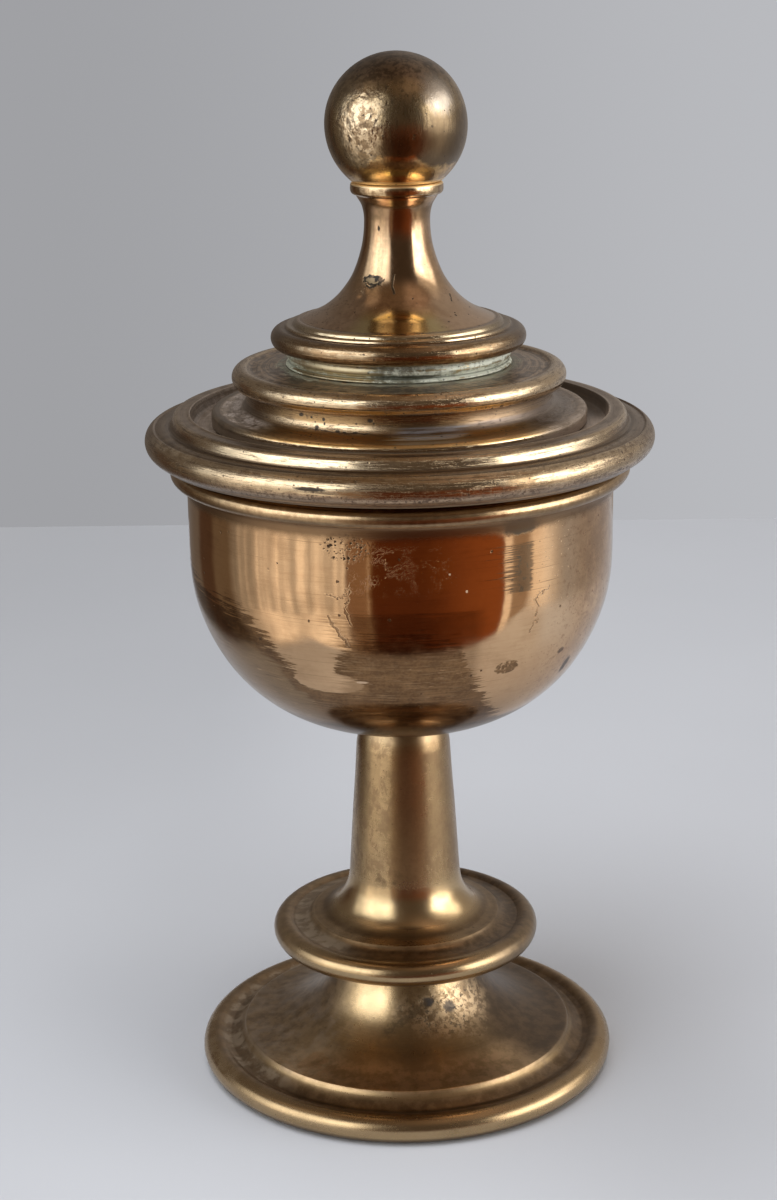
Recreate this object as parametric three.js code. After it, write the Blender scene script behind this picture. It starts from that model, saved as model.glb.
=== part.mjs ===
// Small lidded chalice of turned brass, drawn in millimetres, +Z up.
// The origin is the centre of the flat ring that the foot stands on.
// Every turned piece is a closed profile of (radius, height) swept round Z.
// The foot, stem and bowl are drawn together by one threaded rod; the lid is a
// plate with a spigot, and its boss, collar, finial and ball are drawn together
// by a second, thinner rod. The lid lifts straight up out of the bowl.

import * as THREE from "three";

// ---- driving dimensions ----------------------------------------------------
const TOTAL_H = 100; // table to top of ball
const SEGMENTS = 40; // facets round each turned piece
const SEAT_GAP = 0.05; // between two faces that rest on each other

// foot
const FOOT_BEAD = { r: 19.41, z: 1.36, t: 1.36 };
const FOOT_RING_IN = 18.2; // inner edge of the ring it stands on
const FOOT_TOP = 12.55;
const FOOT_ROOF = 9.4; // underside of the web that the rod passes through

// stem with its knop disc
const STEM_BOTTOM = 12.6;
const STEM_TOP = 36.2;
const KNOP_BEAD = { r: 12.05, z: 13.87, t: 1.23 };

// bowl
const BOWL_BOTTOM = 36.25;
const BOWL_WALL_R = 20.34;
const BOWL_BORE_R = 19.2; // inside of the mouth
const BOWL_FLOOR = 39.6; // inside, on the axis
const RIM_TOP = 62.85;
const RIM_BEAD = { r: 21.0, z: 61.45, w: 0.9, h: 0.86 };

// lid plate
const LID_UNDER = 62.9;
const LID_RECESS = 63.7; // underside inside the spigot
const SPIGOT_R = 18.9;
const SPIGOT_WALL = 1.0;
const SPIGOT_END = 59.9;
const LID_BEAD = { r: 22.75, z: 64.45, t: 1.42 };
const LID_FLOOR = 65.8; // floor of the trough, and seat of the boss

// boss on the lid
const BOSS_BOTTOM = 65.85;
const BOSS_R = 17.79;
const BOSS_BEAD = { r: 14.77, z: 70.27, t: 1.02 };
const BOSS_TOP = 71.3;

// collar between boss and finial
const COLLAR_BOTTOM = 71.35;
const COLLAR_TOP = 73.0;
const COLLAR_R = 10.6;

// finial: disc and trumpet neck
const FINIAL_BOTTOM = 73.05;
const FINIAL_BEAD = { r: 11.04, z: 73.93, t: 0.97 };
const FINIAL_TOP = 88.25;
const FINIAL_COLLAR_R = 4.33;

// ball
const BALL_R = 6.59;
const BALL_Z = TOTAL_H - BALL_R;
const BALL_SEAT = 88.3;

// rods, washers and nuts
const ROD_R = 2.0; // lower rod
const ROD_BORE = 2.15;
const ROD_Z = [3.6, 38.3];
const TOP_ROD_R = 1.5; // upper rod
const TOP_ROD_BORE = 1.65;
const TOP_ROD_Z = [60.0, 93.6];
const FOOT_WASHER = { ri: 2.15, ro: 4.5, z0: 8.5, z1: 9.35 };
const FOOT_NUT = { flats: 7.0, bore: 2.15, z0: 5.25, z1: 8.45 };
const LID_WASHER = { ri: 1.65, ro: 3.5, z0: 63.1, z1: 63.65 };
const LID_NUT = { flats: 5.5, bore: 1.65, z0: 60.65, z1: 63.05 };

// ---- materials -------------------------------------------------------------
const brass = (color, roughness) =>
  new THREE.MeshStandardMaterial({ color, roughness, metalness: 1 });
const agedBrass = brass(0x7a5f38, 0.42);
const polishedBrass = brass(0x8a6a40, 0.16);
const satinBrass = brass(0x8b6c45, 0.34);
const darkBrass = brass(0x66523a, 0.4);
const verdigris = brass(0x77806c, 0.7);
const rawBrass = brass(0xa8874f, 0.45);

// ---- helpers ---------------------------------------------------------------
// Points of a bead (part of a circle or ellipse), from angle a0 to a1 degrees.
function bead({ r, z, t, w = t, h = t }, a0, a1, steps) {
  const out = [];
  for (let i = 0; i <= steps; i++) {
    const a = ((a0 + ((a1 - a0) * i) / steps) * Math.PI) / 180;
    out.push([r + w * Math.cos(a), z + h * Math.sin(a)]);
  }
  return out;
}

// A solid of revolution about Z. A profile off the axis is closed on itself,
// and one whose ends both lie on the axis is left as it is.
function turned(name, profile, material, segments = SEGMENTS) {
  const pts = profile.map(([r, z]) => new THREE.Vector2(r, z));
  const onAxis = pts[0].x === 0 && pts[pts.length - 1].x === 0;
  if (!onAxis) pts.push(pts[0].clone());
  // the outer side runs upwards, so that the faces point outwards
  if (signedArea(pts) < 0) pts.reverse();
  const geometry = new THREE.LatheGeometry(pts, segments);
  geometry.rotateX(Math.PI / 2);
  const mesh = new THREE.Mesh(geometry, material);
  mesh.name = name;
  return mesh;
}

function signedArea(pts) {
  let a = 0;
  for (let i = 0; i < pts.length; i++) {
    const p = pts[i];
    const q = pts[(i + 1) % pts.length];
    a += p.x * q.y - q.x * p.y;
  }
  return a / 2;
}

// A hexagon nut: a hexagonal prism with a round hole.
function hexNut(name, { flats, bore, z0, z1 }, material) {
  const shape = new THREE.Shape();
  const corner = flats / Math.sqrt(3);
  for (let i = 0; i < 6; i++) {
    const a = (i * Math.PI) / 3;
    const x = corner * Math.cos(a);
    const y = corner * Math.sin(a);
    if (i === 0) shape.moveTo(x, y);
    else shape.lineTo(x, y);
  }
  shape.closePath();
  const hole = new THREE.Path();
  hole.absarc(0, 0, bore, 0, Math.PI * 2, true);
  shape.holes.push(hole);
  const geometry = new THREE.ExtrudeGeometry(shape, {
    depth: z1 - z0,
    bevelEnabled: false,
    curveSegments: 10,
  });
  const mesh = new THREE.Mesh(geometry, material);
  mesh.position.z = z0;
  mesh.name = name;
  return mesh;
}

// ---- foot: bell-shaped, hollow below ---------------------------------------
const foot = turned(
  "foot",
  [
    [FOOT_RING_IN, 0],
    [19.5, 0],
    ...bead(FOOT_BEAD, -62, 128, 8),
    [17.98, 2.34], // groove behind the bead
    [17.2, 2.72],
    [16.7, 3.15],
    [16.4, 3.58], // edge of the step
    [14.6, 3.78],
    [12.6, 4.35],
    [10.7, 5.35],
    [9.2, 6.6],
    [8.0, 8.2],
    [7.1, 10.0],
    [6.5, 11.6],
    [6.3, FOOT_TOP],
    [ROD_BORE, FOOT_TOP],
    [ROD_BORE, FOOT_ROOF],
    [5.2, FOOT_ROOF],
    [5.9, 8.4],
    [7.3, 6.4],
    [9.2, 4.4],
    [12.2, 2.7],
    [15.4, 2.0],
    [17.4, 1.3],
  ],
  agedBrass,
);

// ---- stem, turned in one with its knop disc --------------------------------
const stem = turned(
  "stem_with_knop",
  [
    [ROD_BORE, STEM_BOTTOM],
    [6.5, STEM_BOTTOM],
    [7.2, 13.1],
    [11.0, 13.05],
    ...bead(KNOP_BEAD, -98, 126, 7),
    [10.75, 14.93], // groove behind the bead
    [10.1, 15.04],
    [9.6, 15.25],
    [9.35, 15.5], // edge of the step
    [8.1, 15.78],
    [7.1, 16.4],
    [6.35, 17.3],
    [5.8, 18.4],
    [5.55, 19.6],
    [5.47, 20.63],
    [5.08, 26.66],
    [4.83, 30.07],
    [4.62, 33.4], // lower edge of the rounded top
    [4.42, 34.5],
    [4.1, 35.5],
    [3.8, STEM_TOP],
    [ROD_BORE, STEM_TOP],
  ],
  satinBrass,
);

// ---- bowl: deep round-bottomed cup with a rim bead --------------------------
const bowl = turned(
  "bowl",
  [
    [ROD_BORE, BOWL_BOTTOM],
    [4.1, BOWL_BOTTOM],
    [5.6, 36.4],
    [8.2, 36.8],
    [10.6, 37.59],
    [12.9, 38.85],
    [14.88, 40.42],
    [16.6, 42.3],
    [18.0, 44.43],
    [19.1, 46.75],
    [19.86, 49.13],
    [20.25, 51.4],
    [BOWL_WALL_R, 54.0],
    [BOWL_WALL_R, 58.8],
    [20.4, 59.9], // short flare under the rim bead
    [20.66, 60.62],
    ...bead(RIM_BEAD, -70, 84, 7),
    [20.6, 62.42],
    [20.5, RIM_TOP],
    [BOWL_BORE_R, RIM_TOP],
    [BOWL_BORE_R, 54.0],
    [18.95, 50.8],
    [18.3, 48.2],
    [17.3, 45.8],
    [16.0, 43.7],
    [14.3, 41.9],
    [12.0, 40.5],
    [9.0, 39.8],
    [5.0, BOWL_FLOOR],
    [0, BOWL_FLOOR],
    [0, 38.6], // end of the blind hole for the rod
    [ROD_BORE, 38.6],
  ],
  polishedBrass,
);

// ---- lid plate with outer bead, raised ring, trough and spigot --------------
const lidPlate = turned(
  "lid_plate",
  [
    [23.12, LID_UNDER],
    ...bead(LID_BEAD, -68, 66, 7),
    [23.12, 65.66], // groove between bead and flat
    [22.4, 65.85],
    [21.82, 65.82], // foot of the ring
    [21.66, 66.1],
    [21.52, 66.52],
    [21.34, 66.82],
    [21.05, 66.95],
    [20.3, 66.95],
    [19.92, 67.04],
    [19.77, 66.88], // inner edge of the ring
    [19.55, 66.1],
    [19.25, LID_FLOOR],
    [TOP_ROD_BORE, LID_FLOOR],
    [TOP_ROD_BORE, LID_RECESS],
    [SPIGOT_R - SPIGOT_WALL, LID_RECESS],
    [SPIGOT_R - SPIGOT_WALL, SPIGOT_END],
    [SPIGOT_R - 0.25, SPIGOT_END],
    [SPIGOT_R, SPIGOT_END + 0.35],
    [SPIGOT_R, LID_UNDER],
  ],
  darkBrass,
);

// ---- boss: flange, cove and moulded disc ------------------------------------
const lidBoss = turned(
  "lid_boss",
  [
    [TOP_ROD_BORE, BOSS_BOTTOM],
    [17.72, BOSS_BOTTOM],
    [BOSS_R, 66.5],
    [17.76, 66.95],
    [17.6, 67.17],
    [17.38, 67.24], // rounded lip of the flange
    [16.0, 67.2],
    [15.55, 67.26],
    [15.15, 67.4],
    [14.86, 67.6],
    [14.65, 67.86],
    [14.5, 68.2],
    [14.42, 68.7], // cove under the disc
    ...bead(BOSS_BEAD, -106, 126, 7),
    [13.95, 71.06], // groove behind the bead
    [12.4, 71.2],
    [10.9, BOSS_TOP],
    [TOP_ROD_BORE, BOSS_TOP],
  ],
  darkBrass,
);

// ---- collar ring, the joint that has gone green -----------------------------
const collar = turned(
  "collar_ring",
  [
    [TOP_ROD_BORE, COLLAR_BOTTOM],
    [COLLAR_R, COLLAR_BOTTOM],
    [10.62, 71.55],
    [10.25, 71.75],
    [10.5, 72.05],
    [10.5, 72.5],
    [10.3, COLLAR_TOP],
    [TOP_ROD_BORE, COLLAR_TOP],
  ],
  verdigris,
);

// ---- finial: moulded disc with a trumpet neck --------------------------------
const finial = turned(
  "finial",
  [
    [TOP_ROD_BORE, FINIAL_BOTTOM],
    [10.85, FINIAL_BOTTOM],
    ...bead(FINIAL_BEAD, -76, 90, 6),
    [10.68, 74.91],
    [10.6, 75.08],
    [10.44, 75.19], // lower step
    [9.92, 75.15],
    [9.83, 75.38],
    [9.68, 75.57],
    [9.45, 75.63], // upper step
    [9.12, 75.63],
    [8.24, 76.03],
    [7.24, 76.5],
    [6.5, 77.0],
    [5.7, 77.7],
    [5.02, 78.5],
    [4.35, 79.5],
    [3.86, 80.6],
    [3.49, 81.7],
    [3.22, 82.85],
    [3.08, 84.2],
    [3.1, 85.3],
    [3.32, 86.2],
    [3.75, 86.92],
    [4.16, 87.2],
    [FINIAL_COLLAR_R, 87.5],
    [FINIAL_COLLAR_R, 87.95],
    [4.2, 88.2],
    [4.0, FINIAL_TOP],
    [TOP_ROD_BORE, FINIAL_TOP],
  ],
  polishedBrass,
);

// ---- ball, drilled from below -------------------------------------------------
const ballStart =
  (Math.asin((BALL_SEAT - BALL_Z) / BALL_R) * 180) / Math.PI;
const ball = turned(
  "finial_ball",
  [
    [0, 94.2],
    [TOP_ROD_BORE, 94.0],
    [TOP_ROD_BORE, BALL_SEAT],
    ...bead({ r: 0, z: BALL_Z, t: BALL_R }, ballStart, 84, 13),
    [0, TOTAL_H],
  ],
  satinBrass,
);

// ---- rods, washers and nuts ----------------------------------------------------
const rod = (name, radius, [z0, z1], chamfer) =>
  turned(
    name,
    [
      [0, z0],
      [radius - chamfer, z0],
      [radius, z0 + chamfer],
      [radius, z1 - chamfer],
      [radius - chamfer, z1],
      [0, z1],
    ],
    rawBrass,
    20,
  );
const washer = (name, { ri, ro, z0, z1 }) =>
  turned(
    name,
    [
      [ri, z0],
      [ro, z0],
      [ro, z1],
      [ri, z1],
    ],
    rawBrass,
  );

const tieRod = rod("tie_rod", ROD_R, ROD_Z, 0.4);
const footWasher = washer("foot_washer", FOOT_WASHER);
const footNut = hexNut("foot_nut", FOOT_NUT, rawBrass);
const finialRod = rod("finial_rod", TOP_ROD_R, TOP_ROD_Z, 0.3);
const lidWasher = washer("lid_washer", LID_WASHER);
const lidNut = hexNut("lid_nut", LID_NUT, rawBrass);

// ---- assembly -------------------------------------------------------------------
const cup = new THREE.Group();
cup.name = "cup";
cup.add(foot, footWasher, footNut, tieRod, stem, bowl);

const lid = new THREE.Group();
lid.name = "lid";
lid.add(lidPlate, lidBoss, collar, finial, ball, finialRod, lidWasher, lidNut);

const chalice = new THREE.Group();
chalice.name = "chalice";
chalice.add(cup, lid);

export default chalice;
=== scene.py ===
import math

import bpy
import numpy as np
from mathutils import Matrix, Vector


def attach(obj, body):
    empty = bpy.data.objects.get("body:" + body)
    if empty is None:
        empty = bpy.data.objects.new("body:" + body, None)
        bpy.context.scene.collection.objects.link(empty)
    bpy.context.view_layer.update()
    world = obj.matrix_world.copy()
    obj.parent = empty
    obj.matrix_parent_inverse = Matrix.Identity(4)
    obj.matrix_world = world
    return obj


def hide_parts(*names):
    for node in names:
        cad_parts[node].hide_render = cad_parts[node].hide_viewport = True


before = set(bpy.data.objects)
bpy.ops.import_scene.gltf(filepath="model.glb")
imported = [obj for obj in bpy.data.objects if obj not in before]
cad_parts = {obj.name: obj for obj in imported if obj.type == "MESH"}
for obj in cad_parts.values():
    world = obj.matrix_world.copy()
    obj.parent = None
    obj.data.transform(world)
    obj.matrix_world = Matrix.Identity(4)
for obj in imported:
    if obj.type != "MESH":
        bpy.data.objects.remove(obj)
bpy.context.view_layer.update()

MM = 0.001
TURNS = 320          # steps round the axis of the turned pieces

# ------------------------------------------------------------------ camera
FOCAL = 2335.0       # of the 777 x 1200 frame, in its pixels
DISTANCE, HEIGHT = 217.62, 112.63
PITCH, YAW, ROLL = math.radians(16.562), math.radians(-0.335), math.radians(-0.775)


def make_camera():
    cam = bpy.data.objects.new("view_camera", bpy.data.cameras.new("view_camera"))
    bpy.context.scene.collection.objects.link(cam)
    cam.data.sensor_fit = "AUTO"
    cam.data.sensor_width = 36.0
    cam.data.lens = FOCAL / 1200.0 * 36.0
    cam.data.clip_start, cam.data.clip_end = 0.01, 50.0
    ahead = Vector((math.sin(YAW) * math.cos(PITCH), math.cos(YAW) * math.cos(PITCH), -math.sin(PITCH)))
    right = ahead.cross(Vector((0, 0, 1))).normalized()
    up = right.cross(ahead)
    right, up = (math.cos(ROLL) * right + math.sin(ROLL) * up, math.cos(ROLL) * up - math.sin(ROLL) * right)
    turn = Matrix((right, up, -ahead)).transposed()
    cam.matrix_world = Matrix.Translation(Vector((0, -DISTANCE, HEIGHT)) * MM) @ turn.to_4x4()
    bpy.context.scene.camera = cam
    return cam


make_camera()

# ------------------------------------------------------------------ profiles, (radius, height) in mm


def bead(r, z, t, a0, a1, w=None, h=None, steps=40):
    """An arc of a bead, from angle a0 to a1 in degrees, 0 pointing outwards and 90 up."""
    w, h = w or t, h or t
    return [(r + w * math.cos(math.radians(a)), z + h * math.sin(math.radians(a))) for a in np.linspace(a0, a1, steps)]


def sweep(points, step=0.15):
    """A smooth curve through the points."""
    p = np.array(points, float)
    p = np.vstack([2 * p[0] - p[1], p, 2 * p[-1] - p[-2]])
    out = []
    for i in range(1, len(p) - 2):
        a, b, c, d = p[i - 1 : i + 3]
        k = [0.0]
        for u, v in ((a, b), (b, c), (c, d)):
            k.append(k[-1] + max(1e-6, float(np.linalg.norm(v - u))) ** 0.5)
        n = max(2, int(np.linalg.norm(c - b) / step))
        for t in np.linspace(k[1], k[2], n, endpoint=False):
            a1 = (k[1] - t) / (k[1] - k[0]) * a + (t - k[0]) / (k[1] - k[0]) * b
            a2 = (k[2] - t) / (k[2] - k[1]) * b + (t - k[1]) / (k[2] - k[1]) * c
            a3 = (k[3] - t) / (k[3] - k[2]) * c + (t - k[2]) / (k[3] - k[2]) * d
            b1 = (k[2] - t) / (k[2] - k[0]) * a1 + (t - k[0]) / (k[2] - k[0]) * a2
            b2 = (k[3] - t) / (k[3] - k[1]) * a2 + (t - k[1]) / (k[3] - k[1]) * a3
            out.append(tuple((k[2] - t) / (k[2] - k[1]) * b1 + (t - k[1]) / (k[2] - k[1]) * b2))
    out.append(tuple(p[-2]))
    return out


def blurred(values, sigma, step, closed):
    """values along an outline, smoothed over sigma mm."""
    half = max(1, int(3 * sigma / step))
    k = np.exp(-0.5 * (np.arange(-half, half + 1) * step / sigma) ** 2)
    k /= k.sum()
    v = np.asarray(values, float)
    if closed:
        reps = half // len(v) + 1
        w = np.concatenate([v] * reps)[-half:], v, np.concatenate([v] * reps)[:half]
        v = np.concatenate(w)
    else:
        first, last = v[0], v[-1]
        v = np.concatenate([2 * first - v[half:0:-1], v, 2 * last - v[-2 : -half - 2 : -1]])
    if v.ndim == 1:
        return np.convolve(v, k, "valid")
    return np.stack([np.convolve(v[:, i], k, "valid") for i in range(v.shape[1])], 1)


def thinned(p, tol):
    """Indices of the points that keep the outline within tol mm."""
    keep = np.zeros(len(p), bool)
    keep[[0, -1]] = True
    todo = [(0, len(p) - 1)]
    while todo:
        a, b = todo.pop()
        if b - a < 2:
            continue
        d = p[b] - p[a]
        n = np.hypot(*d)
        q = p[a + 1 : b] - p[a]
        off = np.abs(d[0] * q[:, 1] - d[1] * q[:, 0]) / n if n > 1e-9 else np.hypot(q[:, 0], q[:, 1])
        i = int(off.argmax())
        if off[i] > tol or b - a > 60:
            m = a + 1 + i if off[i] > tol else (a + b) // 2
            keep[m] = True
            todo += [(a, m), (m, b)]
    return np.where(keep)[0]


def outline(parts, soft, closed, tol=0.0022, step=0.035):
    """Joins the parts into one outline, rounds its corners by soft mm, and gives (points, arc length, hollow, sharp)."""
    p = np.array([q for part in parts for q in (part if isinstance(part, list) else [part])], float)
    if closed:
        p = np.vstack([p, p[:1]])
    d = np.hypot(*np.diff(p, axis=0).T)
    p = p[np.concatenate([[True], d > 1e-6])]
    s = np.concatenate([[0], np.cumsum(np.hypot(*np.diff(p, axis=0).T))])
    n = int(s[-1] / step)
    t = np.linspace(0, s[-1], n, endpoint=not closed)
    q = np.stack([np.interp(t, s, p[:, 0]), np.interp(t, s, p[:, 1])], 1)
    q = blurred(q, soft, step, closed)
    if not closed:
        q[0, 0] = q[-1, 0] = 0.0
    # how far each point lies under the outline smoothed over a millimetre, and over a fifth of one
    tangent = np.roll(q, -1, 0) - np.roll(q, 1, 0)
    if not closed:
        tangent[0], tangent[-1] = q[1] - q[0], q[-1] - q[-2]
    normal = np.stack([tangent[:, 1], -tangent[:, 0]], 1)
    normal /= np.maximum(np.hypot(*normal.T), 1e-9)[:, None]
    area = 0.5 * np.sum(q[:, 0] * np.roll(q[:, 1], -1) - np.roll(q[:, 0], -1) * q[:, 1])
    if area < 0:
        normal = -normal
    hollow = ((blurred(q, 0.9, step, closed) - q) * normal).sum(1)
    sharp = ((blurred(q, 0.22, step, closed) - q) * normal).sum(1)
    if closed:
        q, t = np.vstack([q, q[:1]]), np.append(t, s[-1])
        hollow, sharp = np.append(hollow, hollow[0]), np.append(sharp, sharp[0])
        keep = thinned(q, tol)[:-1]
    else:
        keep = thinned(q, tol)
    return q[keep], t[keep], hollow[keep], sharp[keep], area > 0


def waves(seed, count, high):
    rng = np.random.default_rng(seed)
    return [(rng.integers(0, high) + 1, rng.uniform(0, 2 * math.pi), rng.uniform(0.15, 1.2), rng.uniform(0, 2 * math.pi), rng.normal()) for _ in range(count)]


SECTIONS = {}        # outline and arc length of each turned piece


def along(name, r, z):
    """How far along the outline of a turned piece the point (r, z) lies, in mm."""
    p, s = SECTIONS[name]
    return float(s[np.hypot(p[:, 0] - r, p[:, 1] - z).argmin()])


def turned(name, parts, soft=0.05, closed=True, wobble=0.012, seed=1, turns=TURNS, dents=()):
    """One turned solid, from the outline of its section. wobble is how far, in mm, it runs out of true, and dents are
    (azimuth in degrees, radius, height, width, depth)."""
    p, s, hollow, sharp, outwards = outline(parts, soft, closed)
    SECTIONS[name] = p, s
    a = np.linspace(0, 2 * math.pi, turns, endpoint=False)
    r = np.repeat(p[:, :1], turns, 1)
    z = np.repeat(p[:, 1:], turns, 1)
    shape = np.zeros_like(r)
    for k, ph, m, ps, w in waves(seed, 14, 9):
        shape += w * np.cos(k * a[None] + ph) * np.cos(m * p[:, 1:] + ps) / (k ** 0.7)
    shape *= wobble / max(1e-9, np.abs(shape).max())
    fade = np.clip(p[:, :1] / 3.0, 0, 1)
    r = r + shape * fade
    x, y = r * np.sin(a)[None], -r * np.cos(a)[None]
    for az, dr, dz, width, depth in dents:
        t = math.radians(az)
        c = np.array([dr * math.sin(t), -dr * math.cos(t), dz])
        near = np.exp(-((x - c[0]) ** 2 + (y - c[1]) ** 2 + (z - c[2]) ** 2) / (2 * width * width))
        x, y = x - np.sin(a)[None] * near * depth, y + np.cos(a)[None] * near * depth
    rings, verts, index = [], [], 0
    for i in range(len(p)):
        if p[i, 0] < 1e-6:
            verts.append([[0.0, 0.0, p[i, 1]]])
            rings.append(np.array([index]))
            index += 1
        else:
            verts.append(np.stack([x[i], y[i], z[i]], 1))
            rings.append(np.arange(index, index + turns))
            index += turns
    faces = []
    pairs = list(zip(range(len(p)), range(1, len(p)))) + ([(len(p) - 1, 0)] if closed else [])
    for i, j in pairs:
        u, v = rings[i], rings[j]
        if len(u) == 1 and len(v) == 1:
            continue
        if len(u) == 1:
            faces += [(int(u[0]), int(b), int(c)) for b, c in zip(np.roll(v, -1), v)]
        elif len(v) == 1:
            faces += [(int(b), int(c), int(v[0])) for b, c in zip(u, np.roll(u, -1))]
        else:
            un, vn = np.roll(u, -1), np.roll(v, -1)
            faces += list(zip(u.tolist(), un.tolist(), vn.tolist(), v.tolist()))
    if not outwards:
        faces = [f[::-1] for f in faces]
    co = np.vstack(verts)
    per = np.array([len(q) for q in rings])
    values = {"of_s": np.repeat(s, per), "of_hollow": np.repeat(hollow, per), "of_sharp": np.repeat(sharp, per)}
    return make_piece(name, co, faces, values)


def make_piece(name, co, faces, values=None, smooth=True):
    """A mesh object from points in mm."""
    mesh = bpy.data.meshes.new(name)
    mesh.from_pydata((np.asarray(co) * MM).tolist(), [], faces)
    mesh.validate()
    for key, v in (values or {}).items():
        at = mesh.attributes.new(key, "FLOAT", "POINT")
        at.data.foreach_set("value", np.asarray(v, np.float32))
    mesh.polygons.foreach_set("use_smooth", [smooth] * len(mesh.polygons))
    mesh.update()
    obj = bpy.data.objects.new(name, mesh)
    bpy.context.scene.collection.objects.link(obj)
    return obj


def rings_piece(name, rows, closed=True):
    """A solid from rows of points round the axis, each an array of (x, y, z) in mm; the rows close on themselves."""
    n = len(rows[0])
    faces = []
    pairs = list(zip(range(len(rows)), range(1, len(rows)))) + ([(len(rows) - 1, 0)] if closed else [])
    for i, j in pairs:
        for k in range(n):
            m = (k + 1) % n
            faces.append((i * n + k, i * n + m, j * n + m, j * n + k))
    return make_piece(name, np.vstack(rows), faces)


# ------------------------------------------------------------------ the turned pieces
foot = turned("foot_turned", [
    [(18.15, 0.0), (19.3, 0.0)],
    bead(19.41, 1.36, 1.36, -80, 128),
    sweep([(18.55, 2.42), (18.2, 2.36), (17.95, 2.31), (17.6, 2.44), (17.15, 2.72), (16.72, 3.14), (16.5, 3.46)]),
    [(16.42, 3.6)],
    sweep([(16.2, 3.63), (14.6, 3.78), (12.6, 4.35), (10.7, 5.35), (9.2, 6.6), (8.0, 8.2), (7.1, 10.0), (6.5, 11.6), (6.3, 12.55)]),
    [(2.15, 12.55), (2.15, 9.4), (5.2, 9.4)],
    sweep([(5.4, 9.2), (5.9, 8.4), (7.3, 6.4), (9.2, 4.4), (12.2, 2.7), (15.4, 2.0), (17.3, 1.35)]),
    [(17.6, 0.9), (18.0, 0.3)],
], soft=0.06, wobble=0.015, seed=3)

stem = turned("stem_turned", [
    [(2.15, 12.6), (6.5, 12.6), (7.2, 13.0), (10.9, 12.98)],
    bead(12.05, 13.87, 1.23, -100, 128),
    sweep([(11.2, 14.86), (10.95, 14.84), (10.6, 14.87), (10.1, 14.98), (9.7, 15.18), (9.48, 15.38)]),
    [(9.36, 15.54)],
    sweep([(9.1, 15.56), (8.1, 15.78), (7.1, 16.4), (6.35, 17.3), (5.8, 18.4), (5.55, 19.6), (5.47, 20.63), (5.08, 26.66), (4.83, 30.07), (4.62, 33.4)]),
    sweep([(4.6, 33.6), (4.42, 34.5), (4.1, 35.5), (3.8, 36.2)]),
    [(2.15, 36.2)],
], soft=0.05, wobble=0.012, seed=5)

bowl = turned("bowl_turned", [
    [(0.0, 38.6), (2.15, 38.6), (2.15, 36.25)],
    sweep([(4.1, 36.25), (5.6, 36.4), (8.2, 36.8), (10.6, 37.59), (12.9, 38.85), (14.88, 40.42), (16.6, 42.3), (18.0, 44.43), (19.1, 46.75), (19.86, 49.13), (20.22, 51.4), (20.32, 53.2)]),
    [(20.34, 54.5), (20.34, 58.7)],
    sweep([(20.34, 58.9), (20.36, 59.5), (20.43, 60.05), (20.54, 60.42), (20.66, 60.62)]),
    bead(21.0, 61.45, 0.88, -72, 78, w=0.9, h=0.86),
    [(20.95, 62.34), (20.62, 62.42), (20.5, 62.85), (19.2, 62.85), (19.2, 54.0)],
    sweep([(19.2, 53.9), (18.95, 50.8), (18.3, 48.2), (17.3, 45.8), (16.0, 43.7), (14.3, 41.9), (12.0, 40.5), (9.0, 39.8), (5.0, 39.6), (0.0, 39.6)]),
], soft=0.05, closed=False, wobble=0.02, seed=7)

lid_plate = turned("lid_plate_turned", [
    [(18.9, 62.9), (23.0, 62.9)],
    bead(22.72, 64.5, 1.45, -74, 64),
    sweep([(23.26, 65.73), (23.16, 65.64), (23.06, 65.70)]),
    sweep([(22.95, 65.76), (22.7, 65.82), (22.4, 65.85), (22.1, 65.84), (21.9, 65.8)]),
    sweep([(21.78, 65.84), (21.68, 66.0), (21.6, 66.25), (21.5, 66.55), (21.36, 66.8), (21.15, 66.93), (20.9, 66.97), (20.3, 66.94), (20.05, 66.96)]),
    bead(19.9, 66.93, 0.12, 60, 190, steps=10),
    [(19.7, 66.5), (19.5, 66.0), (19.25, 65.8), (1.65, 65.8), (1.65, 63.7), (17.9, 63.7), (17.9, 59.9), (18.65, 59.9), (18.9, 60.25)],
], soft=0.06, wobble=0.015, seed=11)

lid_boss = turned("lid_boss_turned", [
    [(1.65, 65.85), (17.68, 65.85), (17.77, 65.95), (17.79, 66.5)],
    bead(17.37, 66.82, 0.42, -20, 84),
    sweep([(17.3, 67.24), (16.9, 67.22), (16.4, 67.19), (16.0, 67.2), (15.55, 67.26), (15.15, 67.4), (14.86, 67.6), (14.65, 67.86), (14.5, 68.2), (14.42, 68.62), (14.4, 69.2)]),
    bead(14.77, 70.27, 1.02, -108, 128),
    sweep([(14.0, 71.02), (13.8, 71.0), (13.5, 71.06), (12.4, 71.17), (11.4, 71.26), (10.9, 71.3)]),
    [(1.65, 71.3)],
], soft=0.05, wobble=0.012, seed=13)

collar = turned("collar_ring_turned", [
    [(1.65, 71.35)],
    sweep([(10.6, 71.35), (10.66, 71.48), (10.42, 71.68), (10.28, 71.8), (10.4, 71.95), (10.55, 72.2), (10.5, 72.55), (10.3, 73.0)]),
    [(1.65, 73.0)],
], soft=0.04, wobble=0.02, seed=17)

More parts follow.
